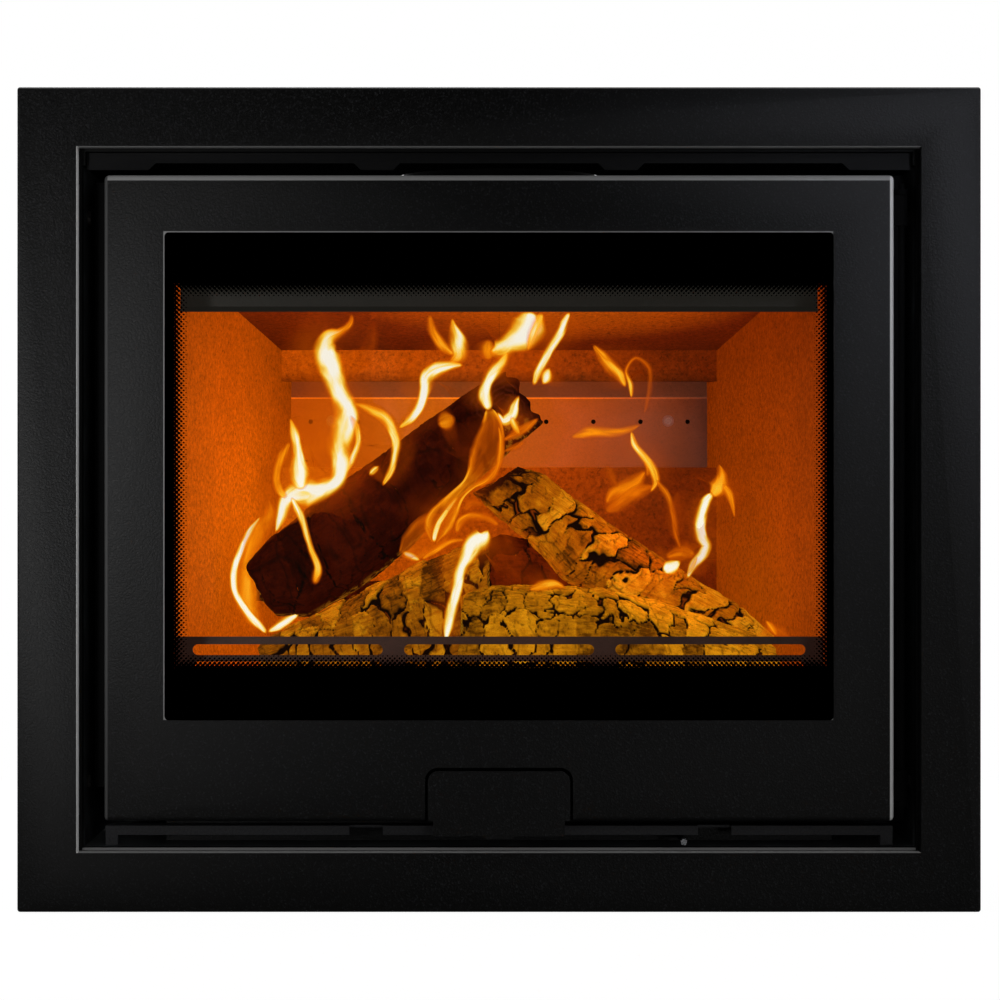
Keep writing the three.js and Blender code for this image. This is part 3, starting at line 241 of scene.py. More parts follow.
def turnedSteel(name, hexValue="#8b8d90", roughness=0.32):
    # bare turned steel of pins and screws: fine rings of the lathe, a little dulled
    material, tree = startMaterial(name)
    place = add(tree, "place")
    rings = add(tree, "noise", place, 1000 / 0.8, 3, 0.7)
    base = add(tree, "mix", add(tree, "range", rings, 0.3, 0.7), colour(hexValue), colour("#5f6163"))
    shader = add(tree, "ShaderNodeBsdfPrincipled", {
        "Base Color": base, "Metallic": 1.0, "Roughness": roughness,
        "Normal": add(tree, "bump", rings, 0.02 / 1000)})
    closeMaterial(tree, shader.outputs[0])
    return material


blackPaint = sandyBlackPaint("stove_paint_sprayed_black", paintSettings)
surroundPaint = sandyBlackPaint("stove_paint_surround_black",
                                {**paintSettings, "edges": surroundHighlights, "rimEnd": 0.304})
doorPaint = sandyBlackPaint("stove_paint_door_black", {
    **paintSettings, "edges": doorHighlights, "rimEnd": 0.2415, "rim": (0.242, 0.27155, 0.17595)})
# painted shade: the hinge, flue collar and recess copies are near black; painted light: the outlet strip copy
# is lighter and the lower rail copy lighter still
hingePaint = shadedBlackPaint("stove_paint_hinge_black", "#010101", 0.8)
recessPaint = shadedBlackPaint("stove_paint_shaded_black", "#030303", 0.75)
stripPaint = shadedBlackPaint("stove_paint_strip_black", "#161617", 0.65)
railPaint = shadedBlackPaint("stove_paint_rail_black", "#3c3c3e", 0.6)
# the cut edge is near black on the sides, back and top, painted shade, and light grey on the base, a painted
# highlight; the top sheet is also black below its given height, painted shade
casingSheet = zincCoatedSheet("zinc_coated_steel_sheet", {"zincFrom": -1.0, "edge": "#060606"})
casingBaseSheet = zincCoatedSheet("zinc_coated_steel_sheet_base", {"zincFrom": -1.0, "edge": "#7c7c7c"})
casingTopSheet = zincCoatedSheet("zinc_coated_steel_sheet_top", {"zincFrom": 0.5080, "edge": "#060606"})
pinSteel = turnedSteel("bare_steel_turned")
print("paints and metals ready")


fireSettings = {"hearthZ": 0.1067}      # top of the floor bricks


def nearness(tree, place, centre, reach, squash=(1, 1, 1)):
    # 1 at the centre, falling off smoothly to 0 at the reach, a ball stretched along the axes
    shift = add(tree, "stretch", add(tree, "shift", place, centre), squash)
    return add(tree, "range", add(tree, "length", shift), reach, 0.0)


def vermiculiteBoard(name, settings):
    # pressed vermiculite fire brick: coarse buff flakes with dark mica specks, with the fire's orange light
    # painted on as emission
    material, tree = startMaterial(name)
    place = add(tree, "place")
    flakes = add(tree, "noise", place, 1000 / 3.6, 4, 0.8)
    specks = add(tree, "noise", place, 1000 / 2.6, 2, 0.6)
    patches = add(tree, "noise", place, 1000 / 34, 3, 0.55)
    base = add(tree, "ramp", flakes, stops=[(0.25, "#4a2a0e"), (0.5, "#643a14"), (0.78, "#7c4c1c")])
    base = add(tree, "mix", add(tree, "range", specks, 0.60, 0.74, 0, 0.6), base, colour("#2c1a0e"))
    base = add(tree, "mix", add(tree, "range", patches, 0.4, 0.75, 0, 0.3), base, colour("#4a2a12"))
    relief = add(tree, "plus", flakes, add(tree, "times", specks, -0.6))
    # painted light: the emission colour and strength come from each brick's own fire-light function, broken
    # up by the flakes and specks
    fire = settings["fire"](tree, place)
    mottle = add(tree, "times", add(tree, "range", flakes, 0.37, 0.63, 0.74, 1.27),
                 add(tree, "range", specks, 0.54, 0.66, 1.0, 0.62))
    mottle = add(tree, "times", mottle, add(tree, "range", patches, 0.3, 0.75, 1.06, 0.90))
    strength = add(tree, "times", fire[1], mottle)
    shader = add(tree, "ShaderNodeBsdfPrincipled", {
        "Base Color": base, "Roughness": 0.9, "Normal": add(tree, "bump", relief, 0.5 / 1000),
        "Emission Color": fire[0], "Emission Strength": strength, "Specular IOR Level": 0.1})
    closeMaterial(tree, shader.outputs[0])
    return material


def leftBrickFire(tree, place):
    # the left brick is the brightest: the flames stand beside its front half, its rear edge is in shade
    near = nearness(tree, place, (-0.22, 0.02, 0.235), 0.36, (0.6, 0.75, 1.0))
    tint = add(tree, "ramp", near, stops=[
        (0.0, "#822c00"), (0.35, "#9c3c00"), (0.7, "#b44a00"), (1.0, "#cc5c02")])
    x, y, z = add(tree, "split", place).outputs
    shade = add(tree, "range", y, 0.03, 0.13, 1.0, 0.66)
    return tint, add(tree, "times", add(tree, "range", near, 0.0, 1.0, 0.80, 1.05), shade)


def rightBrickFire(tree, place):
    # painted fire light on the right brick: dimmer than on the left brick, browner towards its top
    near = nearness(tree, place, (0.24, 0.02, 0.16), 0.34, (0.6, 0.8, 0.85))
    tint = add(tree, "ramp", near, stops=[
        (0.0, "#6a2000"), (0.4, "#7a2800"), (0.75, "#8c3600"), (1.0, "#9c4400")])
    return tint, add(tree, "range", near, 0.0, 1.0, 0.80, 1.0)


def rearBrickFire(tree, place):
    # painted fire light behind the flames: orange on the left and low down, brown at the right
    near = nearness(tree, place, (-0.16, 0.1, 0.25), 0.36, (0.9, 1.0, 0.7))
    x, y, z = add(tree, "split", place).outputs
    # painted shadow: darker in a band about 0.349 m high, below the top brick's lower edge
    shade = add(tree, "range", add(tree, "size", add(tree, "minus", z, 0.349)), 0.0, 0.011, 0.25, 1.0)
    tint = add(tree, "ramp", near, stops=[
        (0.0, "#521400"), (0.25, "#5c1900"), (0.48, "#a23a01"), (0.8, "#b84c02"), (1.0, "#d0660a")])
    return tint, add(tree, "times", add(tree, "range", near, 0.0, 1.0, 0.85, 1.0), shade)


def baffleFire(tree, place):
    # the underside of the baffle is lit from below at its middle
    near = nearness(tree, place, (0.045, -0.06, 0.42), 0.26, (1.0, 1.2, 1.0))
    tint = add(tree, "ramp", near, stops=[
        (0.0, "#300a01"), (0.32, "#521402"), (0.52, "#9c3c02"), (1.0, "#c45a08")])
    return tint, add(tree, "range", near, 0.0, 1.0, 0.8, 1.0)


def floorBrickFire(tree, place):
    # painted fire light on the floor bricks, brightest near the middle
    near = nearness(tree, place, (0.0, 0.0, 0.1), 0.3)
    tint = add(tree, "ramp", near, stops=[(0.0, "#7a2c02"), (0.5, "#d05404"), (1.0, "#ff8a20")])
    return tint, add(tree, "range", near, 0.0, 1.0, 0.5, 1.1)


def heatTintedSteel(name, settings):
    # uncoated steel that has been through fires: brown and violet oxide with soot, dull satin
    material, tree = startMaterial(name)
    place = add(tree, "place")
    cloud = add(tree, "noise", place, 1000 / 45, 4, 0.6)
    grain = add(tree, "noise", place, 1000 / 1.5, 3, 0.6)
    base = add(tree, "ramp", cloud, stops=[
        (0.3, settings["dark"]), (0.5, settings["main"]), (0.7, settings["light"])])
    base = add(tree, "mix", add(tree, "range", grain, 0.55, 0.75, 0, 0.4), base, colour("#0e0b0a"))
    # painted light: the fire's light on the steel is emission, strongest near the given place
    near = nearness(tree, place, settings["glowAt"], settings["glowReach"])
    tint = add(tree, "ramp", near, stops=[
        (0.0, settings["dark"]), (0.5, settings["glowLow"]), (1.0, settings["glowHigh"])])
    strength = add(tree, "times", add(tree, "range", near, 0, 1, settings["glowFloor"], settings["glow"]),
                   add(tree, "range", grain, 0.3, 0.7, 1.1, 0.85))
    if "fold" in settings:      # the lip above this height lies in shadow, its crease catches light
        x, y, z = add(tree, "split", place).outputs
        lip = add(tree, "range", z, settings["fold"], settings["fold"] + 0.0006)
        crease = add(tree, "below", add(tree, "size", add(tree, "minus", z, settings["fold"])), 0.0008)
        tint = add(tree, "mix", add(tree, "times", lip, 0.6), tint, colour("#4a2c1e"))
        strength = add(tree, "times", strength, add(tree, "range", lip, 0, 1, 1.0, 0.75))
        strength = add(tree, "times", strength, add(tree, "range", crease, 0, 1, 1.0, 2.2))
    shader = add(tree, "ShaderNodeBsdfPrincipled", {
        "Base Color": base, "Metallic": 0.35, "Roughness": settings["roughness"],
        "Normal": add(tree, "bump", grain, 0.05 / 1000), "Emission Color": tint,
        "Emission Strength": strength})
    closeMaterial(tree, shader.outputs[0])
    return material


def glassFibreRope(name):
    # knitted glass-fibre rope: grey-white strands in a tight 2 mm braid
    material, tree = startMaterial(name)
    place = add(tree, "place")
    runA = add(tree, "ShaderNodeTexWave", {"Vector": place, "Scale": 1000 / 2.2 / 6.283, "Distortion": 1.5},
               bands_direction="DIAGONAL").outputs["Fac"]
    fuzz = add(tree, "noise", place, 1000 / 0.9, 3, 0.7)
    base = add(tree, "mix", runA, colour("#6b6862"), colour("#a5a29b"))
    base = add(tree, "mix", add(tree, "range", fuzz, 0.5, 0.8, 0, 0.6), base, colour("#3b3935"))
    shader = add(tree, "ShaderNodeBsdfPrincipled", {
        "Base Color": base, "Roughness": 0.95,
        "Normal": add(tree, "bump", add(tree, "plus", runA, fuzz), 0.3 / 1000)})
    closeMaterial(tree, shader.outputs[0])
    return material


leftBrick = vermiculiteBoard("vermiculite_board_left_pressed", {"fire": leftBrickFire})
rightBrick = vermiculiteBoard("vermiculite_board_right_pressed", {"fire": rightBrickFire})
rearBrick = vermiculiteBoard("vermiculite_board_rear_pressed", {"fire": rearBrickFire})
baffleBrick = vermiculiteBoard("vermiculite_board_baffle_pressed", {"fire": baffleFire})
floorBrick = vermiculiteBoard("vermiculite_board_floor_pressed", {"fire": floorBrickFire})
# fire light painted on each steel: orange on the air plate and its screws, a dim brown on the guard, a dim
# grey on the deflector, none on the hidden fittings
airPlateSteel = heatTintedSteel("heat_tinted_steel_air_plate", {
    "dark": "#3c1c12", "main": "#522819", "light": "#64362a", "roughness": 0.45,
    "glowAt": (-0.06, 0.1, 0.31), "glowReach": 0.23, "glowLow": "#b84a04", "glowHigh": "#c4600a",
    "glowFloor": 0.85, "glow": 1.1, "fold": 0.3362})
guardSteel = heatTintedSteel("heat_tinted_steel_guard", {
    "dark": "#20130f", "main": "#3a2620", "light": "#4c332b", "roughness": 0.55,
    "glowAt": (0.0, -0.13, 0.13), "glowReach": 0.30, "glowLow": "#281914", "glowHigh": "#301d17",
    "glowFloor": 0.6, "glow": 0.9})
deflectorSteel = heatTintedSteel("heat_tinted_steel_deflector", {
    "dark": "#121110", "main": "#1a1917", "light": "#201e1c", "roughness": 0.6,
    "glowAt": (0.0, -0.13, 0.40), "glowReach": 0.40, "glowLow": "#181714", "glowHigh": "#1a1815",
    "glowFloor": 1.0, "glow": 1.0})
airPlateScrewSteel = heatTintedSteel("heat_tinted_steel_screws", {
    "dark": "#5a3a34", "main": "#7a5048", "light": "#a07468", "roughness": 0.3,
    "glowAt": (-0.10, 0.1, 0.31), "glowReach": 0.25, "glowLow": "#b05006", "glowHigh": "#c06a18",
    "glowFloor": 0.9, "glow": 1.0})
hiddenSteel = heatTintedSteel("heat_tinted_steel_fittings", {
    "dark": "#141312", "main": "#2a2724", "light": "#3d3833", "roughness": 0.5,
    "glowAt": (0.0, 0.0, 0.0), "glowReach": 0.01, "glowLow": "#000000", "glowHigh": "#000000",
    "glowFloor": 0.0, "glow": 0.0})
ropeFibre = glassFibreRope("glass_fibre_rope_knitted")
print("fire-side materials ready")


printSettings = {
    "left": -0.2360, "right": 0.2385,      # inner edges of the solid print
    "bottom": 0.1322, "top": 0.4112,
    "band": 0.0100,                        # width of the dotted band inside them
    "pitch": 0.00243,                      # a 3.4 mm lattice turned by 45 degrees
    "dotLow": 0.10, "dotHigh": 0.62,       # dot radius in pitches, at the inner and outer edge
}


def printedGlass(name, settings):
    # clear glass-ceramic with a fired-on black enamel border that breaks up into shrinking dots
    material, tree = startMaterial(name)
    place = add(tree, "place")
    x, y, z = add(tree, "split", place).outputs
    fromLeft = add(tree, "minus", x, settings["left"])
    fromRight = add(tree, "minus", settings["right"], x)
    fromBottom = add(tree, "minus", z, settings["bottom"])
    fromTop = add(tree, "minus", settings["top"], z)
    inside = add(tree, "least", add(tree, "least", fromLeft, fromRight),
                 add(tree, "least", fromBottom, fromTop))
    turnedA = add(tree, "over", add(tree, "plus", x, z), settings["pitch"] * math.sqrt(2))
    turnedB = add(tree, "over", add(tree, "minus", x, z), settings["pitch"] * math.sqrt(2))
    cellA = add(tree, "minus", add(tree, "part", turnedA), 0.5)
    cellB = add(tree, "minus", add(tree, "part", turnedB), 0.5)
    far = add(tree, "root", add(tree, "plus", add(tree, "times", cellA, cellA),
                                add(tree, "times", cellB, cellB)))
    radius = add(tree, "range", inside, 0.0, settings["band"], settings["dotHigh"], settings["dotLow"])
    dots = add(tree, "below", far, radius)
    band = add(tree, "below", inside, settings["band"])
    solid = add(tree, "below", inside, 0.0)
    mask = add(tree, "most", solid, add(tree, "times", dots, band))
    enamel = add(tree, "ShaderNodeBsdfPrincipled", {
        "Base Color": colour("#000000"), "Roughness": 0.4, "Specular IOR Level": 0.0})
    clear = add(tree, "ShaderNodeBsdfTransparent", {"Color": (0.97, 0.965, 0.95, 1)})
    gloss = add(tree, "ShaderNodeBsdfGlossy", {"Color": (1, 1, 1, 1), "Roughness": 0.02})
    fresnel = add(tree, "ShaderNodeFresnel", {"IOR": 1.35}).outputs[0]
    pane = add(tree, "ShaderNodeMixShader", {
        0: add(tree, "times", fresnel, 0.3), 1: clear.outputs[0], 2: gloss.outputs[0]})
    whole = add(tree, "ShaderNodeMixShader", {0: mask, 1: pane.outputs[0], 2: enamel.outputs[0]})
    closeMaterial(tree, whole.outputs[0])
    return material


doorGlass = printedGlass("glass_ceramic_enamel_printed", printSettings)

nodeFinish = {
    "surround_frame": surroundPaint, "hot_air_outlet_strip": stripPaint, "lower_air_rail": railPaint,
    "casing_left_side": casingSheet, "casing_right_side": casingSheet, "casing_top": casingTopSheet,
    "casing_base": casingBaseSheet, "casing_back": casingSheet,
    "firebox_front_plate": recessPaint, "firebox_left_wall": blackPaint, "firebox_right_wall": blackPaint,
    "firebox_back_wall": blackPaint, "firebox_floor": blackPaint, "firebox_roof": blackPaint,
    "flue_collar": hingePaint, "air_box": blackPaint, "air_inlet_spigot": blackPaint,
    "air_slide": hingePaint, "air_lever_tip": pinSteel, "slide_guide_upper": recessPaint,
    "slide_guide_lower": recessPaint,
    "side_brick_left": leftBrick, "side_brick_right": rightBrick,
    "floor_brick_left": floorBrick, "floor_brick_right": floorBrick,
    "rear_brick_lower": rearBrick, "rear_brick_upper": rearBrick, "rear_brick_top": rearBrick,
    "baffle_left": baffleBrick, "baffle_right": baffleBrick,
    "secondary_air_plate": airPlateSteel, "airwash_deflector": deflectorSteel, "log_guard": guardSteel,
    "door_skin": doorPaint, "door_inner_frame": recessPaint, "door_glass": doorGlass,
    "glass_gasket": ropeFibre, "glass_clamp_top": hiddenSteel, "glass_clamp_bottom": hiddenSteel,
    "door_rope_seal": ropeFibre, "hinge_rod": hingePaint, "hinge_bracket_lower": hingePaint,
    "hinge_bracket_upper": hingePaint, "hinge_knuckle_lower": hingePaint, "hinge_knuckle_upper": hingePaint,
    "handle_flap": doorPaint, "handle_pin": hingePaint, "latch_hook": hiddenSteel,
    "latch_keeper": hiddenSteel,
    "frame_screw_left_lower": hiddenSteel, "frame_screw_left_upper": hiddenSteel,
    "frame_screw_right_lower": hiddenSteel, "frame_screw_right_upper": hiddenSteel,
}


def dressNode(name, material, edge):
    # puts the finish on a CAD node and rounds its sharp edges a little, as folded and cut sheet has
    node = cadNodes[name]
    if node.data.materials:
        for slot in range(len(node.material_slots)):
            node.material_slots[slot].material = material
    else:
        node.data.materials.append(material)
    weld = node.modifiers.new("weld", "WELD")
    weld.merge_threshold = 0.00002
    if edge:
        flat = node.modifiers.new("flat", "DECIMATE")
        flat.decimate_type = "DISSOLVE"
        flat.angle_limit = math.radians(1.5)
        bevel = node.modifiers.new("edge", "BEVEL")
        bevel.width = edge / 1000
        bevel.segments = 2
        bevel.limit_method = "ANGLE"
        bevel.angle_limit = math.radians(40)
        bevel.harden_normals = True
    else:
        split = node.modifiers.new("crease", "EDGE_SPLIT")
        split.split_angle = math.radians(35)
    node.data.polygons.foreach_set("use_smooth", np.ones(len(node.data.polygons), bool))


edgeRounding = {"surround_frame": 0.8, "hot_air_outlet_strip": 0.3, "lower_air_rail": 0.3}
for nodeName, finish in nodeFinish.items():
    dressNode(nodeName, finish, edgeRounding.get(nodeName, 0))
print("nodes dressed:", len(nodeFinish))


def hashed(cells, seed):
    # a repeatable number from 0 to 1 for each whole-numbered cell: the fraction of a large sine
    mixed = np.sin(cells @ np.array([127.1, 311.7, 74.7]) + seed * 19.19) * 43758.5453
    return mixed - np.floor(mixed)


def lumps(points, size, seed):
    # smooth noise: cell corners carry hashed values, blended by smoothstep inside the cell
    scaled = points / size
    base = np.floor(scaled)
    part = scaled - base
    part = part * part * (3 - 2 * part)
    total = np.zeros(points.shape[:-1])
    for corner in range(8):
        offset = np.array([corner & 1, (corner >> 1) & 1, (corner >> 2) & 1], float)
        weight = np.prod(np.where(offset > 0, part, 1 - part), axis=-1)
        total += weight * hashed(base + offset, seed)
    return total


def cracks(u, v, cellU, cellV, wrap, seed):
    # distance between the nearest and second nearest of scattered points: small along a crack
    a, b = u / cellU, v / cellV
    baseA, baseB = np.floor(a), np.floor(b)
    count = max(int(round(wrap / cellU)), 1) if wrap else 0
    nearest = np.full(u.shape, 9.0)
    second = np.full(u.shape, 9.0)
    block = np.zeros(u.shape)
    for stepA in (-1, 0, 1):
        for stepB in (-1, 0, 1):
            cellA, cellB = baseA + stepA, baseB + stepB
            keyA = np.mod(cellA, count) if count else cellA
            key = np.stack([keyA, cellB, np.zeros_like(cellA)], axis=-1)
            pointA = cellA + 0.15 + 0.7 * hashed(key, seed)
            pointB = cellB + 0.15 + 0.7 * hashed(key, seed + 3)
            gap = np.hypot(a - pointA, b - pointB)
            closer = gap < nearest
            second = np.where(closer, nearest, np.minimum(second, gap))
            block = np.where(closer, hashed(key, seed + 7), block)
            nearest = np.where(closer, gap, nearest)
    return second - nearest, block


def makePiece(name, points, faces):
    # a mesh object from an array of points and a list of faces
    mesh = bpy.data.meshes.new(name)
    mesh.from_pydata(points.tolist(), [], faces)
    mesh.update()
    piece = bpy.data.objects.new(name, mesh)
    scene.collection.objects.link(piece)
    return piece


def meshFromGrid(name, points):
    # a grid of closed rings to a mesh: quads between rings, and a fan of triangles over each end ring
    rings, sides = points.shape[:2]
    i, j = np.meshgrid(np.arange(rings - 1), np.arange(sides), indexing="ij")
    nextJ = (j + 1) % sides
    quads = np.stack([i * sides + j, i * sides + nextJ, (i + 1) * sides + nextJ, (i + 1) * sides + j],
                     axis=-1)
    verts = np.vstack([points.reshape(-1, 3), points[0].mean(axis=0), points[-1].mean(axis=0)])
    first, last = rings * sides, rings * sides + 1
    around = np.arange(sides)
    after = (around + 1) % sides
    startFan = np.stack([np.full(sides, first), after, around], axis=-1)
    endFan = np.stack([np.full(sides, last), (rings - 1) * sides + around, (rings - 1) * sides + after],
                      axis=-1)
    return makePiece(name, verts, quads.reshape(-1, 4).tolist() + startFan.tolist() + endFan.tolist())


def setAttribute(piece, name, values):
    data = piece.data.attributes.new(name, "FLOAT", "POINT")
    padded = np.zeros(len(piece.data.vertices), np.float32)
    padded[:values.size] = values.reshape(-1)
    padded[values.size:] = float(values.mean())
    data.data.foreach_set("value", padded)


def setVector(piece, name, values):
    data = piece.data.attributes.new(name, "FLOAT_VECTOR", "POINT")
    flat = values.reshape(-1, 3).astype(np.float32)
    padded = np.zeros((len(piece.data.vertices), 3), np.float32)
    padded[:len(flat)] = flat
    padded[len(flat):] = flat.mean(axis=0)
    data.data.foreach_set("vector", padded.reshape(-1))


def smooth(piece):
    piece.data.polygons.foreach_set("use_smooth", np.ones(len(piece.data.polygons), bool))


def faceOutward(piece):
    work = bmesh.new()
    work.from_mesh(piece.data)
    bmesh.ops.recalc_face_normals(work, faces=work.faces)
    work.to_mesh(piece.data)
    work.free()


def turnedPieces(name, profile, places, facing, material, body):
    # one turned shape for many places: each ring of the profile (height out of the surface, radius) is
    # carried round the axis that faces out of the surface
    profile = np.asarray(profile, float) / 1000
    facing = np.asarray(facing, float)
    side = np.cross(facing, [0.3, 0.5, 0.8])
    side /= np.linalg.norm(side)
    other = np.cross(facing, side)
    sides = 20
    turn = np.linspace(0, 2 * math.pi, sides, endpoint=False)
    ring = np.cos(turn)[:, None] * side + np.sin(turn)[:, None] * other
    shape = profile[:, 0][:, None, None] * facing + profile[:, 1][:, None, None] * ring[None]
    count = len(shape.reshape(-1, 3))
    i, j = np.meshgrid(np.arange(len(profile) - 1), np.arange(sides), indexing="ij")
    quad = np.stack([i * sides + j, i * sides + (j + 1) % sides, (i + 1) * sides + (j + 1) % sides,
                     (i + 1) * sides + j], axis=-1).reshape(-1, 4)
    places = np.asarray(places, float)
    points = (shape.reshape(1, -1, 3) + places[:, None, :]).reshape(-1, 3)
    faces = (quad[None] + (np.arange(len(places)) * count)[:, None, None]).reshape(-1, 4).tolist()
    for start in range(0, len(points), count):
        faces.append(list(range(start, start + sides)))
        faces.append(list(range(start + count - sides, start + count)))
    piece = makePiece(name, points, faces)
    faceOutward(piece)
    smooth(piece)
    split = piece.modifiers.new("crease", "EDGE_SPLIT")
    split.split_angle = math.radians(40)
    piece.data.materials.append(material)
    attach(piece, body)
    return piece


def flatBars(name, spans, material, body):
    # plain bars, each given by its low and high corner in millimetres
    spans = np.asarray(spans, float) / 1000
    corner = np.array([[i & 1, (i >> 1) & 1, (i >> 2) & 1] for i in range(8)])
    points = np.where(corner[None] == 1, spans[:, 1][:, None], spans[:, 0][:, None]).reshape(-1, 3)
    quad = np.array([[0, 1, 3, 2], [4, 6, 7, 5], [0, 4, 5, 1], [2, 3, 7, 6], [0, 2, 6, 4], [1, 5, 7, 3]])
    faces = (quad[None] + (np.arange(len(spans)) * 8)[:, None, None]).reshape(-1, 4)
    piece = makePiece(name, points, faces.tolist())
    faceOutward(piece)
    piece.data.materials.append(material)
    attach(piece, body)
    return piece


rivetDome = [(-0.5, 3.2), (0.0, 3.2), (0.5, 3.0), (1.0, 2.3), (1.3, 1.2), (1.4, 0.3)]
screwHead = [(-0.5, 4.0), (0.6, 4.0), (1.3, 3.4), (1.6, 2.6), (1.6, 1.6), (0.7, 1.5), (0.7, 0.2)]
plateScrew = [(-0.5, 4.6), (0.8, 4.6), (1.6, 4.2), (2.1, 3.4), (2.1, 2.2), (0.9, 2.0), (0.9, 0.3)]
rivetRow = np.linspace(-0.285, 0.285, 8)
backRivets = [(x, 0.175, z) for x in rivetRow for z in (0.012, 0.498)]
upRow = np.linspace(0.05, 0.46, 6)
backRivets += [(x, 0.175, z) for x in (-0.294, 0.294) for z in upRow]
turnedPieces("casing_rivets_back", rivetDome, backRivets, (0, 1, 0), pinSteel, "root")
turnedPieces("casing_rivets_left", rivetDome, [(-0.3042, 0.164, z) for z in upRow], (-1, 0, 0), pinSteel,
             "root")
turnedPieces("casing_rivets_right", rivetDome, [(0.3042, 0.164, z) for z in upRow], (1, 0, 0), pinSteel,
             "root")
topRivets = [(x, y, 0.5084) for x in (-0.294, 0.294) for y in (-0.10, 0.0, 0.10)]
topRivets += [(x, 0.164, 0.5084) for x in rivetRow]
turnedPieces("casing_rivets_top", rivetDome, topRivets, (0, 0, 1), pinSteel, "root")
plateScrewPlaces = seen([(332, 421), (668, 421)], 283.6)
turnedPieces("air_plate_screws", plateScrew, plateScrewPlaces, (0, -1, 0), airPlateScrewSteel, "root")
clampRow = (-0.165, -0.055, 0.055, 0.165)
turnedPieces("glass_clamp_screws", screwHead, [(x, -0.1699, z) for x in clampRow for z in (0.0847, 0.4573)],
             (0, 1, 0), pinSteel, "door")
sealBars = [[(-309, -172, 508.5), (309, -165, 513)], [(-309, -172, -5), (309, -165, -0.1)]]
sealBars += [[(min(a, b), -172, low), (max(a, b), -165, high)] for a, b in ((-309, -304.4), (304.4, 309))
             for low, high in ((-0.1, 25), (483, 508.5))]
flatBars("casing_seal_tape", sealBars, recessPaint, "root")
print("fittings placed")


def alongLine(stations, share):
    # reads a polyline at shares of its length from 0 to 1
    stations = np.asarray(stations, float)
    steps = np.hypot(*(stations[1:, :2] - stations[:-1, :2]).T)
    length = np.concatenate([[0], np.cumsum(steps)]) / steps.sum()
    return np.stack([np.interp(share, length, stations[:, k]) for k in range(stations.shape[1])], axis=-1)


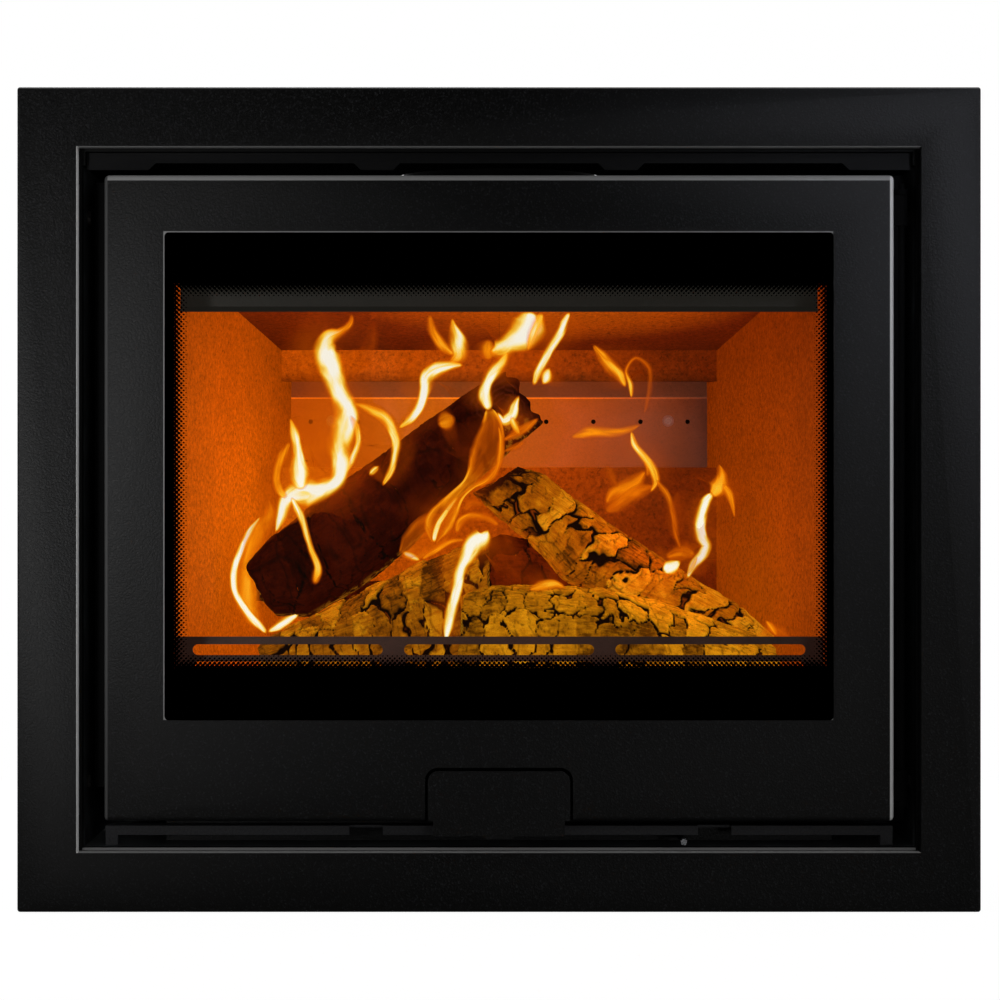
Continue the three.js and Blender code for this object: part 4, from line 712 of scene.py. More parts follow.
def burningLog(name, settings):
    # a split log: the upper and lower outlines seen from the front are joined by a rounded,
    # wedge-like section; each ring is centre + cos * half height + sin * half depth
    rings, sides = settings["rings"], settings["sides"]
    share = np.linspace(0, 1, rings)
    upper = seen(alongLine(settings["upper"], share), np.interp(share, [0, 1], settings["depth"]))
    lower = seen(alongLine(settings["lower"], share), np.interp(share, [0, 1], settings["depth"]))
    centre = (upper + lower) / 2
    half = (upper - lower) / 2
    turn = np.linspace(0, 2 * math.pi, sides, endpoint=False)
    power = settings.get("square", 0.75)
    up = np.sign(np.cos(turn)) * np.abs(np.cos(turn)) ** power
    out = np.sign(np.sin(turn)) * np.abs(np.sin(turn)) ** power
    thick = settings["halfDepth"] / 1000
    ridge = settings.get("ridge", 0.0)
    lean = settings.get("lean", 0.0)
    depthReach = thick * (1 + ridge * np.cos(turn))
    back = np.array([0, 1.0, 0])
    points = (centre[:, None, :] + half[:, None, :] * up[None, :, None]
              - (out * depthReach)[None, :, None] * back[None, None, :]
              + lean * thick * up[None, :, None] * back[None, None, :])
    axis = centre[-1] - centre[0]
    length = np.linalg.norm(axis)
    axis = axis / length
    girth = 2 * math.pi * (np.linalg.norm(half, axis=1).mean() + thick) / 2
    u = np.broadcast_to(turn / (2 * math.pi) * girth, (rings, sides))
    v = np.broadcast_to((share * length)[:, None], (rings, sides))
    seed = settings["seed"]
    wobble = lumps(points, 0.03, seed) - 0.5
    bend = 0.010 * (lumps(points, 0.018, seed + 5) - 0.5) + 0.004 * (lumps(points, 0.006, seed + 6) - 0.5)
    zigzag = 0.004 * (lumps(points, 0.004, seed + 12) - 0.5)
    gap, block = cracks(u + bend + zigzag, v + bend * 1.6 + zigzag, settings["cellAround"] / 1000,
                        settings["cellAlong"] / 1000, girth, seed + 1)
    fine, _ = cracks(u + bend * 0.7, v + bend, settings["cellAround"] / 2600,
                     settings["cellAlong"] / 2400, girth, seed + 2)
    width = settings["crack"] * np.clip(2.6 * lumps(points, 0.016, seed + 9) - 0.55, 0.02, 1.2)
    opened = np.clip(1 - gap / width, 0, 1)
    hair = np.clip(1 - fine / 0.13, 0, 1) * (lumps(points, 0.012, seed + 4) > 0.38)
    startSkew, endSkew = settings.get("skew", (0, 0))
    toStart = np.clip((0.3 - share) / 0.3, 0, 1)[:, None] * startSkew / 1000
    toEnd = np.clip((share - 0.7) / 0.3, 0, 1)[:, None] * endSkew / 1000
    outward = points - centre[:, None, :]
    outward /= np.linalg.norm(outward, axis=-1, keepdims=True) + 1e-9
    push = (settings["bulge"] * wobble + 0.0016 * (block - 0.5)
            + 0.0012 * (lumps(points, 0.005, seed + 8) - 0.5)
            - settings["crackDepth"] / 1000 * opened ** 0.7 - 0.0006 * hair)
    endEase = np.clip(np.minimum(share, 1 - share) / 0.03, 0, 1)[:, None]
    points = points + outward * (push * (0.4 + 0.6 * endEase))[..., None]
    rag = (lumps(points, 0.008, seed + 11) - 0.5) * settings.get("ragged", 0.006)
    points = points + axis * (rag * (1 - endEase) + (toStart - toEnd) * out[None, :])[..., None]
    points[..., 2] = np.maximum(points[..., 2], fireSettings["hearthZ"] + 0.0006)
    startRing, endRing = points[:1], points[-1:]
    toMiddleStart = startRing.mean(axis=1, keepdims=True) - startRing
    toMiddleEnd = endRing.mean(axis=1, keepdims=True) - endRing
    capShares = np.array([0.75, 0.5, 0.25])      # rings of each cut end, from its middle outwards
    inner = [startRing + toMiddleStart * k for k in capShares]
    outer = [endRing + toMiddleEnd * k for k in capShares[::-1]]
    grid = np.concatenate(inner + [points] + outer, axis=0)
    rim = len(capShares)
    capTone = np.concatenate([np.ones((rim, sides)), np.zeros((rings, sides)), np.ones((rim, sides))])
    ends = np.concatenate([np.tile(capShares[:, None], (1, sides)), np.zeros((rings, sides)),
                           np.tile(capShares[::-1, None], (1, sides))])
    piece = meshFromGrid(name, grid)

    def padded(values):
        return np.concatenate([np.repeat(values[:1], rim, axis=0), values,
                               np.repeat(values[-1:], rim, axis=0)])

    setAttribute(piece, "crack", padded(opened) * (1 - capTone))
    setAttribute(piece, "hair", padded(hair) * (1 - capTone))
    setAttribute(piece, "block", padded(block))
    setAttribute(piece, "end", capTone)
    setAttribute(piece, "ring", ends)
    setAttribute(piece, "along", padded(np.broadcast_to(share[:, None], (rings, sides)).copy()))
    setAttribute(piece, "up", padded(np.broadcast_to(np.cos(turn)[None, :], (rings, sides)).copy()))
    grain = np.stack([padded(u.copy()), padded(v.copy()), np.full(capTone.shape, seed / 10)], axis=-1)
    setVector(piece, "grain", grain * 1000)
    faceOutward(piece)
    smooth(piece)
    piece.data.materials.append(settings["finish"])
    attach(piece, "root")
    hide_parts(settings["node"])
    return piece


def burningWood(name, settings):
    # split firewood alight: scorched straw-coloured blocks between black shrinkage cracks, fibres and
    # pinholes running along them, and the glow of embers in the deepest gaps
    material, tree = startMaterial(name)
    place = add(tree, "place")
    crack = add(tree, "attribute", attribute_name="crack")
    hair = add(tree, "attribute", attribute_name="hair")
    block = add(tree, "attribute", attribute_name="block")
    end = add(tree, "attribute", attribute_name="end")
    ring = add(tree, "attribute", attribute_name="ring")
    upper = add(tree, "attribute", attribute_name="up")
    along = add(tree, "attribute", attribute_name="along")
    flow = add(tree, "ShaderNodeAttribute", attribute_name="grain").outputs["Vector"]
    fibreLine = add(tree, "ShaderNodeMapping", {"Vector": flow, "Scale": (0.55, 0.07, 1.0)}).outputs[0]
    fibre = add(tree, "noise", fibreLine, 1.0, 3, 0.6)
    mottle = add(tree, "noise", place, 1000 / 11, 4, 0.6)
    pits = add(tree, "noise", place, 1000 / 2.2, 4, 0.75)
    fine = add(tree, "noise", place, 1000 / 0.9, 2, 0.6)
    tone = add(tree, "plus", add(tree, "times", mottle, 0.45), add(tree, "times", block, 0.22))
    tone = add(tree, "plus", tone, add(tree, "times", fibre, 0.35))
    tone = add(tree, "plus", tone, add(tree, "times", pits, 0.12))
    wood = add(tree, "ramp", tone, stops=settings["wood"])
    rings = add(tree, "sine", add(tree, "plus", add(tree, "times", ring, 42.0),
                                  add(tree, "times", mottle, 9.0)))
    endWood = add(tree, "mix", add(tree, "range", rings, -0.4, 0.8), colour(settings["endDark"]),
                  colour(settings["endLight"]))
    wood = add(tree, "mix", end, wood, endWood)
    dark = add(tree, "most", add(tree, "range", crack, 0.05, 0.5), add(tree, "times", hair, 0.72))
    dark = add(tree, "most", dark, add(tree, "range", pits, 0.58, 0.70, 0, 0.8))
    dark = add(tree, "most", dark, add(tree, "range", fibre, 0.66, 0.74, 0, 0.55))
    dark = add(tree, "most", dark, settings["scorch"](tree, along, upper, mottle))
    # painted light: the base colour is darkened and the surface shows mostly by its emission, the wood's
    # colour given off at glow strength for the fire's light on it; on the charred logs it is partly their own
    # glow
    worn = add(tree, "mix", 0.55, wood, colour("#1a0c02"))
    base = add(tree, "mix", dark, worn, colour("#0c0604"))
    lit = add(tree, "mix", dark, wood, colour(settings["pit"]))
    ember = add(tree, "times", add(tree, "range", crack, 0.75, 1.0),
                add(tree, "range", add(tree, "noise", place, 1000 / 22, 2, 0.5), 0.52, 0.62))
    lit = add(tree, "mix", add(tree, "times", ember, settings["ember"]), lit, colour("#ff6a08"))
    chips = add(tree, "noise", place, 1000 / 7, 3, 0.7)
    under = add(tree, "times", add(tree, "range", upper, settings["rimFrom"], -1.0),
                add(tree, "range", chips, 0.48, 0.56))
    lit = add(tree, "mix", add(tree, "times", under, settings["rim"]), lit,
              colour(settings.get("rimColour", "#e06408")))
    strength = add(tree, "range", fine, 0.3, 0.7, settings["glow"] * 0.86, settings["glow"] * 1.14)
    relief = add(tree, "plus", add(tree, "times", pits, 1.0), add(tree, "times", fibre, 0.8))
    shader = add(tree, "ShaderNodeBsdfPrincipled", {
        "Base Color": base, "Roughness": 0.85, "Normal": add(tree, "bump", relief, 0.7 / 1000),
        "Emission Color": lit, "Emission Strength": strength, "Specular IOR Level": 0.05})
    closeMaterial(tree, shader.outputs[0])
    return material


def noScorch(tree, along, upper, mottle):
    return add(tree, "range", along, 1.5, 2.0)


def scorchedTop(tree, along, upper, mottle):
    # the upper end of the leaning log has burnt to charcoal
    edge = add(tree, "plus", along, add(tree, "times", mottle, 0.25))
    return add(tree, "range", edge, 0.20, 0.13)


strawWood = [(0.42, "#5a3202"), (0.52, "#a06206"), (0.62, "#c67e0a"), (0.74, "#ec9e12")]
scorchedStraw = [(0.42, "#3e2002"), (0.52, "#804604"), (0.62, "#a66006"), (0.74, "#cc860e")]
leaningWood = [(0.42, "#582c02"), (0.52, "#9c5204"), (0.62, "#bc6c06"), (0.74, "#e29614")]
charWood = [(0.40, "#140201"), (0.55, "#220401"), (0.70, "#340a02")]
glowingWood = [(0.40, "#240501"), (0.55, "#390a01"), (0.72, "#601b02")]

frontWood = burningWood("firewood_split_burning_front", {
    "wood": strawWood, "pit": "#120602", "ember": 0.2, "glow": 0.80, "scorch": noScorch,
    "rim": 0.0, "rimFrom": -0.6, "endDark": "#5a3a08", "endLight": "#a87a14"})
leftWood = burningWood("firewood_split_burning_left", {
    "wood": scorchedStraw, "pit": "#120602", "ember": 0.3, "glow": 0.8, "scorch": noScorch,
    "rim": 0.0, "rimFrom": -0.6, "endDark": "#3a2004", "endLight": "#8a5a0c"})
leanWood = burningWood("firewood_split_burning_leaning", {
    "wood": leaningWood, "pit": "#140602", "ember": 0.3, "glow": 0.76, "scorch": scorchedTop,
    "rim": 0.5, "rimFrom": -0.5, "endDark": "#3a1604", "endLight": "#8a4a08"})
darkWood = burningWood("firewood_charred_black", {
    "wood": charWood, "pit": "#0a0301", "ember": 0.5, "glow": 0.9, "scorch": noScorch,
    "rim": 0.9, "rimFrom": -0.80, "rimColour": "#9a5c10", "endDark": "#120502", "endLight": "#30100a"})
middleWood = burningWood("firewood_charred_glowing", {
    "wood": glowingWood, "pit": "#120402", "ember": 0.8, "glow": 0.9, "scorch": noScorch,
    "rim": 0.6, "rimFrom": -0.2, "endDark": "#2a0c03", "endLight": "#6a2a06"})

burningLog("burning_log_front", {
    "node": "log_front", "finish": frontWood, "seed": 3,
    "upper": [(468, 590), (500, 586), (572, 588), (602, 588), (658, 603), (700, 616), (740, 628), (772, 640)],
    "lower": [(452, 690), (520, 692), (600, 692), (700, 692), (780, 690)],
    "depth": (106, 112), "halfDepth": 33, "ridge": -0.15, "lean": 0.25, "square": 0.7,
    "rings": 190, "sides": 200, "cellAround": 21, "cellAlong": 17, "crack": 0.13, "crackDepth": 3.2,
    "bulge": 0.004})
burningLog("burning_log_leaning", {
    "node": "log_leaning_right", "finish": leanWood, "seed": 11,
    "upper": [(520, 468), (540, 474), (577, 500), (610, 524), (645, 545), (703, 584), (738, 606), (774, 636)],
    "lower": [(474, 494), (492, 512), (531, 545), (562, 580), (600, 600), (664, 618), (705, 640), (735, 655)],
    "depth": (170, 150), "halfDepth": 32, "ridge": 0.1, "lean": 0.3, "square": 0.65,
    "rings": 200, "sides": 180, "cellAround": 46, "cellAlong": 17, "crack": 0.17, "crackDepth": 4.0,
    "bulge": 0.004})
burningLog("burning_log_front_left", {
    "node": "log_front_left", "finish": leftWood, "seed": 23,
    "upper": [(262, 640), (300, 622), (355, 594), (400, 572), (440, 556), (486, 535)],
    "lower": [(262, 690), (320, 690), (380, 690), (440, 680), (492, 650)],
    "depth": (104, 140), "halfDepth": 32, "ridge": 0.0, "lean": 0.2, "square": 0.75,
    "rings": 190, "sides": 180, "cellAround": 40, "cellAlong": 15, "crack": 0.33, "crackDepth": 4.5,
    "bulge": 0.004})
burningLog("burning_log_charred", {
    "node": "log_charred", "finish": darkWood, "seed": 37,
    "upper": [(250, 560), (268, 541), (330, 493), (400, 442), (466, 393), (484, 382)],
    "lower": [(262, 598), (278, 616), (310, 616), (355, 592), (410, 548), (462, 494), (522, 440)],
    "depth": (160, 205), "halfDepth": 32, "ridge": 0.0, "lean": 0.0, "square": 0.5,
    "rings": 200, "sides": 160, "cellAround": 60, "cellAlong": 34, "crack": 0.035, "crackDepth": 1.2,
    "bulge": 0.003, "ragged": 0.012, "skew": (0, 24)})
burningLog("burning_log_middle", {
    "node": "log_middle", "finish": middleWood, "seed": 41,
    "upper": [(462, 552), (500, 534), (540, 540), (585, 560), (640, 590)],
    "lower": [(455, 630), (510, 632), (560, 632), (610, 632), (650, 632)],
    "depth": (165, 175), "halfDepth": 26, "ridge": 0.0, "lean": 0.2, "square": 0.8,
    "rings": 120, "sides": 120, "cellAround": 30, "cellAlong": 24, "crack": 0.12, "crackDepth": 3.0,
    "bulge": 0.004})
burningLog("burning_log_rear", {
    "node": "log_rear", "finish": middleWood, "seed": 53,
    "upper": [(345, 582), (450, 582), (560, 586), (668, 590)],
    "lower": [(345, 680), (450, 680), (560, 680), (668, 680)],
    "depth": (236, 232), "halfDepth": 34, "ridge": 0.0, "lean": 0.0, "square": 0.8,
    "rings": 120, "sides": 120, "cellAround": 30, "cellAlong": 22, "crack": 0.14, "crackDepth": 3.0,
    "bulge": 0.004})
print("logs laid")


bedSettings = {"halfWidth": 0.225, "front": 76, "back": 284, "rise": 0.012, "across": 150, "deep": 70}


def emberBed(settings):
    # ash and embers: a closed low heap whose height is three sizes of noise, down to nothing at its rim
    u = np.linspace(-1, 1, settings["across"])
    v = np.linspace(0, 1, settings["deep"])
    vv, uu = np.meshgrid(v, u, indexing="ij")
    taper = 1 - 0.19 * vv
    x = uu * settings["halfWidth"] * taper
    y = cameraSettings["faceY"] + (settings["front"] + (settings["back"] - settings["front"]) * vv) / 1000
    flatPoints = np.stack([x, y, np.zeros_like(x)], axis=-1)
    heap = (0.45 * lumps(flatPoints, 0.04, 5) + 0.35 * lumps(flatPoints, 0.013, 6)
            + 0.3 * lumps(flatPoints, 0.005, 7))
    rim = np.clip(np.minimum(np.minimum(uu + 1, 1 - uu), np.minimum(vv, 1 - vv) * 1.6) / 0.10, 0, 1)
    top = fireSettings["hearthZ"] + 0.0008 + settings["rise"] * heap * rim
    under = np.full_like(top, fireSettings["hearthZ"] + 0.0003)
    upperGrid = np.stack([x, y, top], axis=-1)
    lowerGrid = np.stack([x, y, under], axis=-1)[:, ::-1]
    grid = np.concatenate([upperGrid, lowerGrid], axis=1)
    piece = meshFromGrid("ember_bed", grid)
    faceOutward(piece)
    smooth(piece)
    material, tree = startMaterial("wood_ash_and_embers")   # pale ash over glowing charcoal
    place = add(tree, "place")
    heat = add(tree, "noise", place, 1000 / 16, 4, 0.7)
    ash = add(tree, "noise", place, 1000 / 3, 3, 0.6)
    glow = add(tree, "ramp", heat, stops=[
        (0.35, "#1a0703"), (0.5, "#a02c02"), (0.62, "#ff6a0a"), (0.75, "#ffc24a")])
    base = add(tree, "ramp", ash, stops=[(0.3, "#1d1815"), (0.6, "#4b443f"), (0.8, "#a39c94")])
    shader = add(tree, "ShaderNodeBsdfPrincipled", {
        "Base Color": base, "Roughness": 0.95, "Normal": add(tree, "bump", ash, 0.8 / 1000),
        "Emission Color": glow, "Emission Strength": add(tree, "range", heat, 0.35, 0.75, 0.3, 1.6)})
    closeMaterial(tree, shader.outputs[0])
    piece.data.materials.append(material)
    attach(piece, "root")
    return piece


emberBed(bedSettings)
print("ember bed laid")


def flameGas(name, settings):
    # burning gas: nearly clear, orange at its frayed edge, yellow and then white where it is dense
    material, tree = startMaterial(name)
    uv = add(tree, "ShaderNodeUVMap", uv_map="flow").outputs[0]
    u, v, _ = add(tree, "split", uv).outputs
    heat = add(tree, "attribute", attribute_name="gasHeat")
    density = add(tree, "attribute", attribute_name="gasBody")
    rim = add(tree, "attribute", attribute_name="gasRim")
    pale = add(tree, "attribute", attribute_name="gasPale")
    drift = add(tree, "ShaderNodeTexNoise", {"Vector": uv, "Scale": 1.6, "Detail": 2}).outputs["Fac"]
    lineOnly = add(tree, "ShaderNodeCombineXYZ", {0: 0.0, 1: v, 2: 0.0}).outputs[0]
    ridgeNoise = add(tree, "ShaderNodeTexNoise",
                     {"Vector": lineOnly, "Scale": 1.3, "Detail": 1}).outputs["Fac"]
    ridge = add(tree, "range", ridgeNoise, 0.3, 0.7, 0.32, 0.68)
    place = add(tree, "plus", u, add(tree, "range", drift, 0.3, 0.7, -0.07, 0.07))
    leftPart = add(tree, "over", add(tree, "minus", ridge, place), ridge)
    rightPart = add(tree, "over", add(tree, "minus", place, ridge), add(tree, "minus", 1.0, ridge))
    across = add(tree, "least", add(tree, "most", leftPart, rightPart), 1.0)
    streak = add(tree, "ShaderNodeMapping", {"Vector": uv, "Scale": (2.2, 1.2, 1.0)}).outputs[0]
    wisps = add(tree, "ShaderNodeTexNoise", {
        "Vector": streak, "Scale": 1.6, "Detail": 2, "Roughness": 0.45, "Distortion": 0.8}).outputs["Fac"]
    inward = add(tree, "minus", 1.0, add(tree, "times", across, across), use_clamp=True)
    core = add(tree, "power", inward, settings["edge"])
    fade = add(tree, "range", across, 1.0, 0.72)      # a sheet: thin inside, bright where it turns
    sheet = add(tree, "times", fade, add(tree, "range", across, 0.35, 0.85, 0.42, 1.0))
    profile = add(tree, "plus", add(tree, "times", core, add(tree, "minus", 1.0, rim)),
                  add(tree, "times", sheet, rim))
    body = add(tree, "times", profile, density)
    body = add(tree, "times", body, add(tree, "range", wisps, 0.25, 0.75, 0.62, 1.22))
    hot = add(tree, "times", body, heat)
    tint = add(tree, "ramp", hot, stops=[
        (0.0, "#a83800"), (0.12, "#e06402"), (0.28, "#ff920a"), (0.45, "#ffc02c"), (0.62, "#ffe27c"),
        (0.88, "#fffbea")])
    tint = add(tree, "mix", add(tree, "times", pale, add(tree, "range", body, 0.6, 0.95)), tint,
               colour("#f0ebe2"))
    light = add(tree, "ShaderNodeEmission", {"Color": tint, "Strength": settings["power"]})
    clear = add(tree, "ShaderNodeBsdfTransparent")
    solid = add(tree, "range", body, 0.0, 0.6, 0.0, 0.97)
    both = add(tree, "ShaderNodeMixShader", {0: solid, 1: clear.outputs[0], 2: light.outputs[0]})
    closeMaterial(tree, both.outputs[0])
    return material


flameFinish = flameGas("flame_gas_glowing", {"edge": 2.6, "power": 1.05})
haloSettings = {"wider": 2.4, "extra": 7, "density": 0.16, "heat": 0.42, "behind": 5}
flameSettings = {
    "perSpan": 15, "across": 9,       # points from one place of a line to the next, and across it
    "widen": 1.9,                     # the ribbon's width against that of the visible flame
    "tip": 0.12,                      # width of its ends, against its full width
    "tipShare": 0.35, "tipLength": 13,     # the ends run over this share of it, at most so many px
    "fadeLength": 4,                  # px over which the ends fade
    "bow": 4, "bowLength": 40,        # mm in depth, px along the line
}


def withHalos(ribbons, settings):
    # behind each bright flame stands a wide faint one, the orange glow around it
    halos = []
    for ribbon in ribbons:
        line = np.asarray(ribbon["line"], float).copy()
        if line[:, 4].max() < 0.65:
            continue
        line[:, 2] = line[:, 2] * settings["wider"] + settings["extra"]
        line[:, 3] *= settings["heat"]
        line[:, 4] *= settings["density"]
        halos.append({"line": line, "behind": settings["behind"]})
    return halos + ribbons


def flameRibbons(name, ribbons, depth, finish):
    # each flame is a ribbon carried along a smooth line through picture places; its half width and
    # brightness are read from the same line, and it bows a little in depth so that it has a body
    allPoints, allFaces, allUv = [], [], []
    values = {"gasHeat": [], "gasBody": [], "gasRim": [], "gasPale": []}
    start = 0
    for number, ribbon in enumerate(withHalos(ribbons, haloSettings)):
        line = np.asarray(ribbon["line"], float)          # px, py, half width px, heat, density
        count, across = flameSettings["perSpan"] * (len(line) - 1) + 1, flameSettings["across"]
        chord = np.concatenate([[0], np.cumsum(np.hypot(*(line[1:, :2] - line[:-1, :2]).T))])
        t = np.linspace(0, chord[-1], count)
        fine = np.stack([softRead(chord, line[:, k], t) for k in range(5)], axis=-1)
        tangent = np.gradient(fine[:, :2], axis=0)
        tangent /= np.linalg.norm(tangent, axis=1, keepdims=True) + 1e-9
        side = np.stack([-tangent[:, 1], tangent[:, 0]], axis=-1)
        s = np.linspace(-1, 1, across)
        fromEnd = np.minimum(t, chord[-1] - t)
        ends = np.clip(fromEnd / flameSettings["fadeLength"], 0, 1)
        tipLength = min(flameSettings["tipShare"] * chord[-1], flameSettings["tipLength"])
        fromTip = np.sqrt(np.clip(fromEnd / tipLength, 0, 1))
        taper = flameSettings["tip"] + (1 - flameSettings["tip"]) * fromTip
        reach = flameSettings["widen"] * np.maximum(fine[:, 2], 0.5) * taper
        places = fine[:, None, :2] + side[:, None, :] * (reach[:, None] * s[None, :])[..., None]
        sway = np.sin(t / flameSettings["bowLength"] + number)
        bow = flameSettings["bow"] * (sway[:, None] + (s ** 2)[None, :])
        deep = depth + ribbon.get("behind", 0) + bow
        points = seen(places, deep)
        i, j = np.meshgrid(np.arange(count - 1), np.arange(across - 1), indexing="ij")
        quad = np.stack([i * across + j, i * across + j + 1, (i + 1) * across + j + 1,
                         (i + 1) * across + j], axis=-1)
        allFaces.append(quad.reshape(-1, 4) + start)
        allPoints.append(points.reshape(-1, 3))
        u = np.broadcast_to((s + 1) / 2, (count, across))
        v = np.broadcast_to((t / 60 + number * 3.7)[:, None], (count, across))
        allUv.append(np.stack([u, v], axis=-1).reshape(-1, 2))
        rows = {"gasHeat": fine[:, 3], "gasBody": fine[:, 4] * ends,
                "gasRim": np.full(count, ribbon.get("rim", 0.0)),
                "gasPale": np.full(count, ribbon.get("pale", 0.0))}
        for label, row in rows.items():
            values[label].append(np.broadcast_to(row[:, None], (count, across)).reshape(-1))
        start += count * across
    points, faces = np.vstack(allPoints), np.vstack(allFaces)
    piece = makePiece(name, points, faces.tolist())
    mesh = piece.data
    layer = mesh.uv_layers.new(name="flow")
    loops = np.zeros(len(mesh.loops), np.int32)
    mesh.loops.foreach_get("vertex_index", loops)
    layer.data.foreach_set("uv", np.vstack(allUv)[loops].reshape(-1).astype(np.float32))
    for label, rows in values.items():
        data = mesh.attributes.new(label, "FLOAT", "POINT").data
        data.foreach_set("value", np.concatenate(rows).astype(np.float32))
    mesh.update()
    smooth(piece)
    mesh.materials.append(finish)
    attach(piece, "root")
    return piece


def softRead(chord, values, t):
    # a smooth curve through the values: cubic pieces whose slopes are the mean of their neighbours'
    slopes = np.gradient(values, chord)
    k = np.clip(np.searchsorted(chord, t, side="right") - 1, 0, len(chord) - 2)
    h = chord[k + 1] - chord[k]
    x = (t - chord[k]) / h
    a, b = values[k], values[k + 1]
    return ((2 * x ** 3 - 3 * x ** 2 + 1) * a + (x ** 3 - 2 * x ** 2 + x) * h * slopes[k]
            + (-2 * x ** 3 + 3 * x ** 2) * b + (x ** 3 - x ** 2) * h * slopes[k + 1])


leftFlames = [
    {"line": [(267, 634, 3, 0.8, 0.7), (258, 624, 3, 1, 1), (245, 610, 3.5, 1, 1), (235, 592, 3.5, 1, 1),
              (234, 576, 3.5, 1, 1), (239, 553, 3, 1, 1), (250, 532, 3, 0.9, 0.9),
              (261, 516, 2, 0.7, 0.6)]},
    {"line": [(262, 628, 6, 0.6, 0.5), (247, 605, 9, 0.6, 0.55), (245, 575, 9, 0.55, 0.55),
              (256, 540, 9, 0.5, 0.5), (268, 513, 8, 0.45, 0.45), (268, 497, 3, 0.4, 0.3)]},
    {"line": [(267, 632, 3, 0.8, 0.8), (280, 625, 4, 1, 1), (299, 614, 3, 1, 0.9)]},
    {"line": [(275, 533, 2, 0.9, 0.7), (282, 518, 5, 1, 0.9), (287, 499, 7, 1, 1), (303, 492, 11, 1, 1),
              (321, 490, 8, 1, 1), (337, 481, 7, 1, 1), (342, 465, 8, 1, 1), (341, 443, 10, 0.9, 0.9),
              (346, 422, 10, 0.95, 1), (344, 405, 9, 1, 1), (337, 387, 8, 1, 1), (331, 369, 9, 1, 1),
              (326, 350, 9, 1, 1), (330, 340, 7, 0.8, 0.9), (341, 333, 4, 0.5, 0.7),
              (351, 323, 3, 0.4, 0.6), (352, 313, 3, 0.3, 0.4)], "pale": 0.35},
    {"line": [(344, 473, 3, 0.9, 0.8), (354, 458, 3, 0.9, 0.8), (359, 442, 3, 0.8, 0.8),
              (357, 428, 3, 0.8, 0.6), (350, 415, 3, 0.6, 0.4)], "pale": 0.4},
    {"line": [(303, 490, 9, 1, 1), (299, 472, 7, 1, 1), (298, 453, 4, 1, 1), (294, 432, 3.5, 0.8, 0.9),
              (290, 417, 2, 0.5, 0.5)]},
    {"line": [(287, 498, 4, 0.7, 0.8), (279, 488, 4, 0.55, 0.6), (277, 474, 4, 0.5, 0.6),
              (281, 458, 4, 0.55, 0.6), (290, 441, 3, 0.5, 0.5)]},
    {"line": [(291, 497, 3, 1, 0.9), (299, 511, 3, 0.9, 0.9), (305, 530, 2.5, 0.7, 0.85),
              (311, 550, 2.5, 0.65, 0.85), (318, 569, 3.5, 0.65, 0.8),
              (314, 585, 5, 0.35, 0.5)], "behind": -26},
    {"line": [(353, 403, 3, 0.6, 0.5), (369, 409, 4, 0.7, 0.6), (383, 417, 4.5, 0.75, 0.75),
              (391, 428, 4.5, 0.8, 0.85), (397, 442, 4, 0.8, 0.85), (395, 457, 3.5, 0.75, 0.85),
              (390, 472, 3, 0.7, 0.8), (382, 486, 2, 0.6, 0.7)]},
    {"line": [(398, 429, 2.5, 0.7, 0.7), (411, 417, 4, 0.9, 0.9), (420, 405, 4.5, 1, 1),
              (425, 390, 5, 1, 1), (429, 376, 6, 1, 1), (438, 369, 5, 1, 1), (450, 366, 4, 0.9, 0.9),
              (464, 365, 3, 0.6, 0.7)],
              "pale": 0.4},
    {"line": [(449, 365, 4, 0.5, 0.5), (459, 356, 7, 0.7, 0.7), (457, 343, 7, 0.9, 0.9),
              (453, 328, 4, 0.8, 0.8), (452, 317, 2, 0.6, 0.5)], "pale": 0.4},
    {"line": [(429, 314, 4, 0.4, 0.5), (433, 332, 4, 0.45, 0.6), (441, 344, 5, 0.55, 0.6),
              (454, 356, 5, 0.6, 0.6)]},
    # painted light: a wide faint ribbon set back towards the rear wall, the fire's glow on the wall
    {"line": [(330, 560, 10, 0.2, 0.10), (318, 520, 24, 0.3, 0.30), (312, 470, 34, 0.35, 0.34),
              (322, 420, 30, 0.3, 0.26), (332, 350, 14, 0.2, 0.12)], "behind": 120},
    {"line": [(369, 476, 2, 0.8, 0.9), (374, 471, 2.5, 0.8, 0.9), (380, 466, 2, 0.7, 0.7)], "behind": -10},
    {"line": [(437, 424, 6, 0.5, 0.6), (447, 421, 7, 0.55, 0.7), (456, 418, 4, 0.4, 0.5)]},
    {"line": [(360, 370, 6, 0.15, 0.2), (368, 345, 6, 0.2, 0.2), (374, 320, 4, 0.15, 0.15)]},
]
